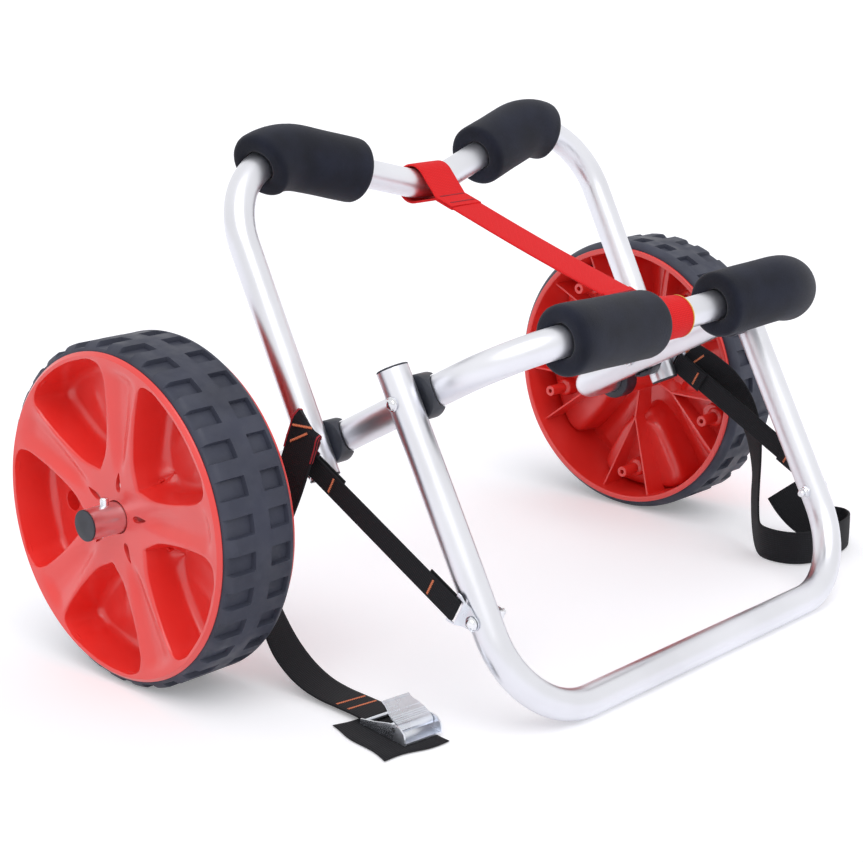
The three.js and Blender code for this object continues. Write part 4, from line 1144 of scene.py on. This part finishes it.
def wheel_fins(middles):
    """The ribs and screw bosses on the wheel's inner side, one of each behind a pocket."""
    fins = Build()
    for i, middle in enumerate(middles):
        add_ribs(fins, middle)
        high = FLOOR - WALL / 2 - (RECESS_DEPTH if i == RECESSED else 0)
        add_boss(fins, polar(BOSS_PLACE, middle), high)
    return fins


def make_wheel(word, side, spoke_angle):
    turn = 2 * math.pi / 5
    spokes = [math.radians(spoke_angle) + i * turn for i in range(5)]
    middles = [spoke + turn / 2 for spoke in spokes]
    shell = wheel_shell(spokes, middles)
    made = mesh_piece(f"{word}_rim", facing(shell.points, side, WHEEL_X, AXLE), shell.faces, RED, 38)
    stands_for(made, f"{word}_wheel_body", "red_plastic", f"{word}_wheel")
    fins = wheel_fins(middles)
    made = mesh_piece(f"{word}_rim_ribs", facing(fins.points, side, WHEEL_X, AXLE), fins.faces, RED, 38)
    stands_for(made, f"{word}_wheel_body", "red_plastic")


def bar_points(start, end, half, lows, high, chamfer=0.4):
    """A straight rib with chamfered free edges, between two places across the wheel."""
    along = unit(end - start)
    aside = np.array([-along[1], along[0]])
    rings = []
    for place, low in zip((start, end), lows):
        section = [(-half, high), (-half, low + chamfer), (-half + chamfer, low)]
        section += [(half - chamfer, low), (half, low + chamfer), (half, high)]
        rings.append([(x, *(place + aside * across)) for across, x in section])
    return rings


def add_ribs(body, middle):
    """A rib from the hub that forks to the rim, behind a pocket."""
    fork = math.radians(13)
    spots = [polar(HUB - 2, middle), polar(48, middle)]
    spots += [polar(BARREL_IN + 1, middle + turn) for turn in (fork, -fork)]
    high = FLOOR - WALL / 2
    body.loft(bar_points(spots[0], spots[1], 1.0, (30, 24), high + 12), cap_start=True, cap_end=True)
    body.loft(bar_points(spots[1], spots[2], 1.0, (24, 9), high), cap_start=True, cap_end=True)
    body.loft(bar_points(spots[1], spots[3], 1.0, (24, 9), high), cap_start=True, cap_end=True)


def add_boss(body, place, high):
    """A screw boss from near the wheel's inner plane up to a height."""
    profile = [(2.4, 3.3), (5.5, 3), (5.7, 24), (9.5, 26), (10.2, high), (2.2, high), (2.2, 24)]
    points, faces = lathe(softened(profile, {1: 0.6, 3: 1.5}, 3), 28, closed=True)
    body.add(np.asarray(points, float) + (0, place[0], place[1]), faces)


# Tyres

TREAD = 30
TREAD_PHASE = math.radians(2.4)
TREAD_DEPTH = 4
TREAD_HALF = 7.5
TREAD_ROWS = ((11.5, 30.5, 1.0, 1.0), (46.0, 74.0, 1.0, 0.1))
SHOULDER = 6.5


def ramp(value, start, end, soft_start, soft_end):
    return smooth_step((value - start) / soft_start) * smooth_step((end - value) / soft_end)


def turned_ring(x, radius, angles):
    """A ring of points about the axle, its radius one number or one for each angle."""
    return np.stack([np.full(len(angles), x), -radius * np.sin(angles), radius * np.cos(angles)], axis=1)


def make_tyre(word, side):
    """The rubber band, with its rows of pockets cut in as steps of the rings."""
    low, high = 3.8, 72.1
    pitch = 2 * math.pi / TREAD
    edge = TREAD_HALF / TYRE
    fine = 0.45 / TYRE
    offsets = [-edge - fine, -edge, -edge + fine, -edge * 0.5, 0, edge * 0.5, edge - fine, edge, edge + fine]
    offsets += list(np.linspace(edge + fine, pitch - edge - fine, 6)[1:-1])
    angles = np.array([TREAD_PHASE + i * pitch + offset for i in range(TREAD) for offset in offsets])
    cells = np.array([offset for _ in range(TREAD) for offset in offsets])
    cells = np.where(cells > pitch / 2, cells - pitch, cells) * TYRE
    bulge = [(0, 0), (0.7, 1.9), (2.2, 4.0), (4.2, 5.6), (6.5, 6.5)]
    crown = [(low + x, TYRE - SHOULDER + rise) for x, rise in bulge]
    places = []
    for start, end, soft_start, soft_end in TREAD_ROWS:
        places += [start, start + soft_start / 2, start + soft_start, (start + end) / 2]
        places += [end - soft_end, end - soft_end / 2, end]
    places += [33, 36, 40, 43.5, 52, 62]
    middle = [(x, TYRE) for x in sorted(places) if low + SHOULDER < x < high - SHOULDER]
    last = [(high - x, TYRE - SHOULDER + rise) for x, rise in reversed(bulge)]
    profile = crown + middle + last
    rings = []
    for x, radius in profile:
        dip = np.zeros(len(angles))
        for start, end, soft_start, soft_end in TREAD_ROWS:
            across = ramp(x, start, end, soft_start, soft_end)
            around = smooth_step((TREAD_HALF + 0.45 - np.abs(cells)) / 0.9)
            dip = np.maximum(dip, TREAD_DEPTH * across * around)
        reach = np.minimum(radius, np.maximum(TYRE - dip, min(radius, TYRE - TREAD_DEPTH)))
        rings.append(turned_ring(x, reach, angles))
    for x in (high, low):
        rings.append(turned_ring(x, BARREL + 0.35, angles))
    rings.append(rings[0])
    points, faces = loft(rings)
    made = mesh_piece(f"{word}_tread", facing(points, side, WHEEL_X, AXLE), faces, RUBBER, 30)
    stands_for(made, f"{word}_wheel_body", "tyre_rubber", f"{word}_tyre")


# Saddle spacers, bolts and nuts


def saddle_points(pivot, side):
    """A drum against the outer leg whose inner end is hollowed to the front leg."""
    sleeve = TUBE / math.cos(math.pi / 12) + GAP
    outer = OUTER_X - TUBE - GAP
    count = 72
    angles = np.linspace(0, 2 * math.pi, count, endpoint=False)
    circle = np.stack([np.zeros(count), np.cos(angles), np.sin(angles)], axis=1)
    aside = np.cross(X, FRONT_UP)

    def inner_ring(radius, back=0.0):
        places = circle * radius
        gap = np.abs(places @ aside)
        depth = FRONT_X + np.sqrt(np.maximum(sleeve**2 - gap**2, 0)) + back
        return places + np.stack([depth, np.zeros(count), np.zeros(count)], axis=1)

    rings = [inner_ring(radius) for radius in (3.3, 6, 9, 12, 14, 16, 17.2)]
    rings.append(inner_ring(17.8, 0.25))
    rings.append(inner_ring(18, 0.9))
    for radius, x in ((18, outer - 1.4), (17.6, outer - 0.4), (16.6, outer), (3.3, outer)):
        rings.append(circle * radius + (x, 0, 0))
    points, faces = loft(rings + [rings[0]])
    places = np.array(points)
    places[:, 0] *= side
    return places + (0, pivot[1], pivot[2]), faces


def bolt_points(head_x, tail_x):
    """A domed head with a ring edge, and a shank in to its tail, along +X from the head's seat."""
    tail = tail_x - head_x
    profile = [(0.01, tail), (2.5, tail), (3, tail + 0.5), (3, 0), (5.8, 0), (5.8, 1.1), (4.9, 1.5)]
    profile += [(4.6 * math.cos(a), 1.6 + 2.4 * math.sin(a)) for a in np.radians([0, 20, 40, 58, 74])]
    profile.append((0.01, 4))
    return lathe(softened(profile, {4: 0.3, 5: 0.4}, 2), 40)


def nut_points(inner=-5.0):
    """A hexagon nut with chamfered corners and a rounded collar, from its seat inwards along -X."""
    count = 48
    angles = np.linspace(0, 2 * math.pi, count, endpoint=False)
    flats = 5 / np.cos((angles + math.pi / 6) % (math.pi / 3) - math.pi / 6)

    def ring(radii, x):
        return np.stack([np.full(count, x), radii * np.cos(angles), radii * np.sin(angles)], axis=1)

    chamfer = np.minimum(flats, 5.35)
    collar = ((4.7, -3.7), (4.6, -4.5), (4.1, inner), (3.05, inner))
    rings = [ring(np.full(count, radius), x) for radius, x in ((3.05, -0.05), (4.8, 0))]
    rings += [ring(chamfer, -0.2), ring(flats, -0.7), ring(flats, -3.2), ring(chamfer, -3.6)]
    rings += [ring(np.full(count, radius), x) for radius, x in collar]
    return loft(rings + [rings[0]])


def make_hardware():
    seat_front = FRONT_X - TUBE - GAP
    seat_outer = OUTER_X - TUBE - GAP
    face_outer = OUTER_X + TUBE + GAP
    face_bracket = face_outer + 1.5
    bolts = (
        ("rear_frame", REAR_PIVOT, face_bracket, seat_front, "front_frame"),
        ("kickstand", STAND_PIVOT, face_outer, seat_front, "front_frame"),
        ("strap", STRAP_BOLT, face_bracket, seat_outer, "kickstand"),
    )
    nut, nut_faces = nut_points()
    for word, side in SIDES:
        for name, pivot, head_x, nut_x, body in bolts:
            points, faces = bolt_points(head_x, nut_x - 8.5)
            made = mesh_piece(f"{word}_{name}_screw", facing(points, side, head_x, pivot), faces, CHROME)
            stands_for(made, body, "bright_steel", f"{word}_{name}_bolt")
            made = mesh_piece(f"{word}_{name}_locknut", facing(nut, side, nut_x, pivot), nut_faces, CHROME)
            stands_for(made, body, "bright_steel", f"{word}_{name}_nut")
        for name, pivot in (("rear_frame", REAR_PIVOT), ("kickstand", STAND_PIVOT)):
            points, faces = saddle_points(pivot, side)
            made = mesh_piece(f"{word}_{name}_saddle", points, faces, BLACK, 40)
            stands_for(made, "front_frame", "black_plastic", f"{word}_{name}_spacer")


# Foam pads: each end's shape, as pairs of distance from the end and radius

PAD_RADIUS = 28.0
PAD_END = [
    (6.5, 13.0),
    (3.2, 13.5),
    (1.2, 14.4),
    (0.2, 16),
    (0, 18),
    (0, 23.2),
    (0.5, 25.1),
    (1.7, 26.7),
    (3.6, 27.7),
    (6.2, 28),
]


def make_pad(name, node, body, route, side, start, length):
    """A foam sleeve with flat ends, drawn in a little at the tube."""
    middle = route.lengths[-1] / 2
    ends = sorted((middle + side * start, middle + side * (start + length)))
    full = PAD_END[-1][0]
    stations = [(ends[0] + offset, radius) for offset, radius in PAD_END]
    stations += [(place, PAD_RADIUS) for place in np.linspace(ends[0] + full, ends[1] - full, 26)[1:-1]]
    stations += [(ends[1] - offset, radius) for offset, radius in reversed(PAD_END)]
    angles = np.linspace(0, 2 * math.pi, 56, endpoint=False)
    rings = []
    for place, radius in stations:
        point, heading = route.at(place)
        width = route.widths[0]
        normal = np.cross(heading, width)
        bent = smooth_step((abs(place - middle) - 165) / 30) if route is REAR else 0.0
        thinner = 0.12 * bent * np.clip(np.cos(angles) * side, 0, 1)
        wave = 1 + 0.004 * np.sin(place / 9.0 + 2 * angles) - thinner
        reach = radius if radius < 20 else radius * wave - 0.1
        wide, high = np.cos(angles) * reach, np.sin(angles) * reach
        rings.append(point + np.outer(wide, width) + np.outer(high, normal))
    rings.append(rings[0])
    points, faces = loft(rings)
    made = mesh_piece(name, points, faces, FOAM, 50)
    stands_for(made, body, "foam", node)


def make_pads():
    make_pad("front_left_foam", "front_left_pad", "front_frame", FRONT, -1, 22, 125)
    make_pad("front_right_foam", "front_right_pad", "front_frame", FRONT, 1, 66, 125)
    make_pad("rear_left_foam", "rear_left_pad", "rear_frame", REAR, -1, 81, 111)
    make_pad("rear_right_foam", "rear_right_pad", "rear_frame", REAR, 1, 77, 111)


# Red webbing between the crossbars

RED_WIDTH = 38
RED_THICKNESS = 2
RED_SHIFT = 5
LOOP_SLACK = 2.4
LOOP_TIP = 27
LOOP_REACH = 52


def dip_rise(dip, half_span, radius, x):
    slope = math.atan(dip / half_span)
    if x < radius * math.sin(slope):
        return radius / math.cos(slope) - math.sqrt(radius**2 - x**2)
    return x * math.tan(slope)


def loop_middle(bar_middle, up, dip, half_span, shift):
    lowest = dip_rise(dip, half_span, 90, 0)
    highest = dip_rise(dip, half_span, 90, abs(shift) + RED_WIDTH / 2)
    return bar_middle + up * (lowest + highest) / 2


FRONT_BAR = AXLE + FRONT_UP * (FRONT_REACH - FRONT_DIP)
REAR_BAR = REAR_PIVOT + REAR_UP * (REAR_REACH - REAR_DIP)
FRONT_LOOP = loop_middle(FRONT_BAR, FRONT_UP, FRONT_DIP, FRONT_X, RED_SHIFT)
REAR_LOOP = loop_middle(REAR_BAR, REAR_UP, REAR_DIP, OUTER_X, 0)
RED_HEADING = unit(FRONT_LOOP - REAR_LOOP)


def loop_route(middle, heading, x):
    """A teardrop round a crossbar, from one ply's end to the other's."""
    inner = TUBE / math.cos(math.pi / 12) + LOOP_SLACK + RED_THICKNESS / 2
    tangent = math.acos((inner - RED_THICKNESS / 2) / LOOP_TIP)
    across = np.cross(X, heading)

    def place(along, aside):
        return at(x, middle + heading * along + across * aside)

    half = RED_THICKNESS / 2
    points = [place(LOOP_REACH - step, half) for step in np.linspace(0, LOOP_REACH - LOOP_TIP - 4, 8)]
    for angle in np.linspace(tangent + 0.12, 2 * math.pi - tangent - 0.12, 34):
        points.append(place(inner * math.cos(angle), inner * math.sin(angle)))
    points += [place(LOOP_TIP + 4 + step, -half) for step in np.linspace(0, LOOP_REACH - LOOP_TIP - 4, 8)]
    points = np.array(points)
    return Route(points, np.gradient(points, axis=0), [X] * len(points))


def make_red_strap():
    loops = (
        ("rear", REAR_LOOP, RED_HEADING, 0, "rear_frame"),
        ("front", FRONT_LOOP, -RED_HEADING, RED_SHIFT, "front_frame"),
    )
    for word, middle, heading, x, body in loops:
        route = loop_route(middle, heading, x)
        made = band(f"red_{word}_loop", route, RED_WIDTH, RED_THICKNESS, RED_WEB, 0.1)
        stands_for(made, body, "red_webbing", f"red_strap_{word}_loop")
        across = np.cross(X, heading)
        up = across if across[2] > 0 else -across
        for i, along in enumerate((33, 46)):
            centre = at(x, middle + heading * along + up * 2.1)
            stitch = tack(f"red_{word}_tack_{i + 1}", centre, X, up, 30, MAROON_THREAD, 2.0)
            stands_for(stitch, body, "red_webbing")
        if word == "front":
            edge_route = loop_route(middle, heading, x + RED_WIDTH / 2 - 1.2)
            chosen = range(8, 36)
            trimmed = Route(edge_route.points[chosen], edge_route.headings[chosen], edge_route.widths[chosen])
            trim = band("red_front_edge_thread", trimmed, 1.3, RED_THICKNESS + 0.7, GOLD_THREAD)
            stands_for(trim, body, "red_webbing")
    reach = LOOP_REACH + GAP
    start = at(0, REAR_LOOP + RED_HEADING * reach)
    end = at(RED_SHIFT, FRONT_LOOP - RED_HEADING * reach)
    shares = np.linspace(0, 1, 40)
    sag = np.sin(shares * math.pi) * -1.2
    points = start[None] + (end - start)[None] * shares[:, None] + Z[None] * sag[:, None]
    route = Route(points, np.gradient(points, axis=0), [X] * len(points))
    made = band("red_webbing_span", route, RED_WIDTH, RED_THICKNESS, RED_WEB, 0.2)
    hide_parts("red_strap_span")
    row_place(start)
    row_place(end)
    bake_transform(made)


# Stays

STAY_WIDTH = 20
STAY_THICKNESS = 1.6
STAY_TAIL = 34
BRACKET_REACH = 19
BRACKET_THICKNESS = 1.2
BRACKET_BAR = 3
BRACKET_JOG = 2.4
STAY_HEADING = unit(STRAP_BOLT - REAR_PIVOT)
STAY_ACROSS = np.cross(X, STAY_HEADING)
STAY_RUN = float(np.linalg.norm(STRAP_BOLT - REAR_PIVOT))


def make_stay(word, side):
    turn = BRACKET_THICKNESS / 2 + GAP + STAY_THICKNESS / 2
    bar = BRACKET_REACH - BRACKET_BAR / 2
    bar_plane = OUTER_X + TUBE + GAP + BRACKET_THICKNESS / 2 + BRACKET_JOG

    def station(along, outwards):
        return at(side * (bar_plane + outwards), REAR_PIVOT + STAY_HEADING * along)

    def turn_back(along, sign):
        return [
            station(along - sign * turn * math.sin(angle), -sign * turn * math.cos(angle))
            for angle in np.linspace(0, math.pi, 13)
        ]

    points = [station(bar + STAY_TAIL - step, -turn) for step in np.linspace(0, STAY_TAIL - 1, 6)]
    points += turn_back(bar, 1)
    points += [station(along, turn) for along in np.linspace(bar + 4, STAY_RUN - bar - 4, 50)]
    points += turn_back(STAY_RUN - bar, -1)
    points += [station(STAY_RUN - bar - step, -turn) for step in np.linspace(1, STAY_TAIL, 6)]
    points = np.array(points)
    route = Route(points, np.gradient(points, axis=0), [STAY_ACROSS] * len(points))
    made = band(f"{word}_stay_webbing", route, STAY_WIDTH, STAY_THICKNESS, BLACK_WEB)
    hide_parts(f"{word}_stay_strap")
    start = row_place(station(bar + STAY_TAIL, 0))
    end = row_place(station(STAY_RUN - bar - STAY_TAIL, 0))
    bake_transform(made)
    lift = turn + STAY_THICKNESS / 2 + 0.15
    tacks = ((bar + 26, "front_frame"), (STAY_RUN - bar - 26, "kickstand"))
    for i, (along, body) in enumerate(tacks):
        for face, sign in (("outer", 1), ("inner", -1)):
            name = f"{word}_stay_tack_{i + 1}_{face}"
            centre = station(along, sign * lift)
            stands_for(tack(name, centre, STAY_ACROSS, X * side * sign, 14, THREAD), body, "red_webbing")


# Small CAD pieces that keep their solids get softened edges and a better material


def softened_node(name, material, width):
    node = bpy.data.objects[name]
    if node.material_slots:
        for slot in node.material_slots:
            slot.material = material
    else:
        node.data.materials.append(material)
    flatten = node.modifiers.new("flatten", "DECIMATE")
    flatten.decimate_type = "DISSOLVE"
    flatten.angle_limit = math.radians(1)
    bevel = node.modifiers.new("edges", "BEVEL")
    bevel.width = width * MM
    bevel.segments = 2
    bevel.limit_method = "ANGLE"
    bevel.angle_limit = math.radians(30)


def make_small_parts():
    for word, _ in SIDES:
        for name in ("upper_strap_bracket", "lower_strap_bracket"):
            softened_node(f"{word}_{name}", ZINC, 0.25)
        softened_node(f"{word}_button_spring", ZINC, 0.1)
    softened_node("cam_buckle_frame", ZINC, 0.3)
    softened_node("cam_buckle_pin", CHROME, 0.3)
    softened_node("cam_buckle_spring", ZINC, 0.2)


# Cam buckle's lever: x across, then along and up from the buckle's rear bar

BUCKLE_X = -268.4
BUCKLE_Y = -201
BUCKLE_Z = 2.1
BUCKLE_TURN = math.radians(6.4)
CAM_PIN = np.array([40, 8.4])
CAM = 5
LEVER_PLATE = 1.2
LEVER_LEAN = np.array([-22, 10.6]) / math.hypot(22, 10.6)
LEVER_RUN = 24.6


def buckle_place(x, along, up):
    turn = math.pi - BUCKLE_TURN
    return (
        BUCKLE_X + x * math.cos(turn) - along * math.sin(turn),
        BUCKLE_Y + x * math.sin(turn) + along * math.cos(turn),
        BUCKLE_Z + up,
    )


def lever_lift(run):
    """How far the lever's face stands up at a distance from the cam: teeth, a bar and a thick lip."""
    teeth = 0.42 * max(0.0, math.sin(run * 2 * math.pi / 1.9)) if 0.6 < run < 8.2 else 0.0
    bar = 0.4 if 12.5 < run < 16.5 else 0.0
    lip = 0.5 if run > 22.4 else 0.0
    return teeth + bar + lip


def lever_profile():
    """The bent plate's outline, with its half width at each point."""
    lift = np.array([LEVER_LEAN[1], -LEVER_LEAN[0]])
    start = math.atan2(lift[1], lift[0])
    bend = [start - math.radians(step) for step in range(0, 96, 8)]
    runs = np.linspace(LEVER_RUN, 0.3, 96)
    outer = [(CAM_PIN + lift * (CAM + lever_lift(run)) + LEVER_LEAN * run, run) for run in runs]
    outer += [(CAM_PIN + CAM * np.array([math.cos(a), math.sin(a)]), 0) for a in bend]
    low = CAM - LEVER_PLATE
    inner = [(CAM_PIN + low * np.array([math.cos(a), math.sin(a)]), 0) for a in reversed(bend)]
    inner += [(CAM_PIN + lift * low + LEVER_LEAN * run, run) for run in runs[::-4]]
    inner.append((CAM_PIN + lift * (low + 0.3) + LEVER_LEAN * (LEVER_RUN + 0.3), LEVER_RUN))
    return [(place, 16.4 - 3.6 * float(smooth_step((run - 7) / 15))) for place, run in outer + inner]


def make_lever():
    profile = lever_profile()
    plate = Build()
    rings = [[buckle_place(share * half, *place) for place, half in profile] for share in (-1, 0, 1)]
    plate.loft(rings, cap_start=True, cap_end=True)
    made = plate.piece("lever_plate", ZINC, 30)
    stands_for(made, "buckle_lever", "zinc_plate", "cam_buckle_lever")
    drum = []
    for x, radius in ((-13.3, 2.35), (-13.3, 3.5), (-13.0, 3.75), (16.1, 3.75), (16.4, 3.5), (16.4, 2.35)):
        angles = np.linspace(0, 2 * math.pi, 32, endpoint=False)
        circle = [radius * np.array([math.cos(angle), math.sin(angle)]) for angle in angles]
        drum.append([buckle_place(x, *(CAM_PIN + spot)) for spot in circle])
    body = Build()
    body.loft(drum + [drum[0]])
    made = body.piece("lever_drum", ZINC, 30)
    stands_for(made, "buckle_lever", "zinc_plate")


# Backing patch under the buckle

PATCH_X = -282
PATCH_Y = -226
PATCH_WIDTH = 58
PATCH_LENGTH = 74
PATCH_TURN = -math.radians(12)


def make_patch():
    half_width, half_length = PATCH_WIDTH / 2, PATCH_LENGTH / 2
    cos, sin = math.cos(PATCH_TURN), math.sin(PATCH_TURN)
    columns, rows = 24, 30
    top, bottom, uvs = [], [], []
    for j in range(rows + 1):
        for i in range(columns + 1):
            x = half_width * (2 * i / columns - 1)
            y = half_length * (2 * j / rows - 1)
            edge = max(abs(x) / half_width, abs(y) / half_length)
            wave = 0.18 * math.sin(x / 7.0 + y / 11.0) * smooth_step((edge - 0.55) / 0.45)
            thin = 0.55 * smooth_step((edge - 0.95) / 0.05)
            sway = 1.3 * math.sin(y / 9.0 + 0.6) * (x / half_width) ** 3
            x += sway
            y += 1.5 * math.sin(x / 8.0) * (y / half_length) ** 3
            place = (PATCH_X + x * cos - y * sin, PATCH_Y + x * sin + y * cos)
            top.append((*place, 1.7 - thin + min(0.0, wave)))
            bottom.append((*place, 0.3 + thin * 0.5))
            uvs.append((y, x))
    points = top + bottom
    count = len(top)
    faces = []
    stride = columns + 1
    for j in range(rows):
        for i in range(columns):
            a = j * stride + i
            faces.append((a, a + 1, a + stride + 1, a + stride))
            faces.append((count + a + stride, count + a + stride + 1, count + a + 1, count + a))
    rim = list(range(stride)) + [j * stride + columns for j in range(1, rows + 1)]
    rim += [rows * stride + i for i in range(columns - 1, -1, -1)]
    rim += [j * stride for j in range(rows - 1, 0, -1)]
    for a, b in zip(rim, rim[1:] + rim[:1]):
        faces.append((a, b, count + b, count + a))
    made = mesh_piece("buckle_backing", points, faces, BLACK_WEB, 50, uvs + uvs)
    return stands_for(made, "front_frame", "black_webbing", "buckle_patch")


def main():
    hull = make_hull_straps()
    patch = make_patch()
    make_hull_tacks(hull)
    make_frames()
    make_wheel("left", -1, 10)
    make_wheel("right", 1, 0.7)
    for word, side in SIDES:
        make_tyre(word, side)
        make_stay(word, side)
    make_hardware()
    make_pads()
    make_red_strap()
    make_small_parts()
    make_lever()
    left, left_route = hull["left"]
    right, right_route = hull["right"]
    row_place(LEFT_HULL[0][0])
    [row_place(point) for point in left_route.points[::3]]
    row_place(RIGHT_HULL[0][0])
    [row_place(point) for point in right_route.points[::3]]
    scene.view_settings.view_transform = "Standard"


main()
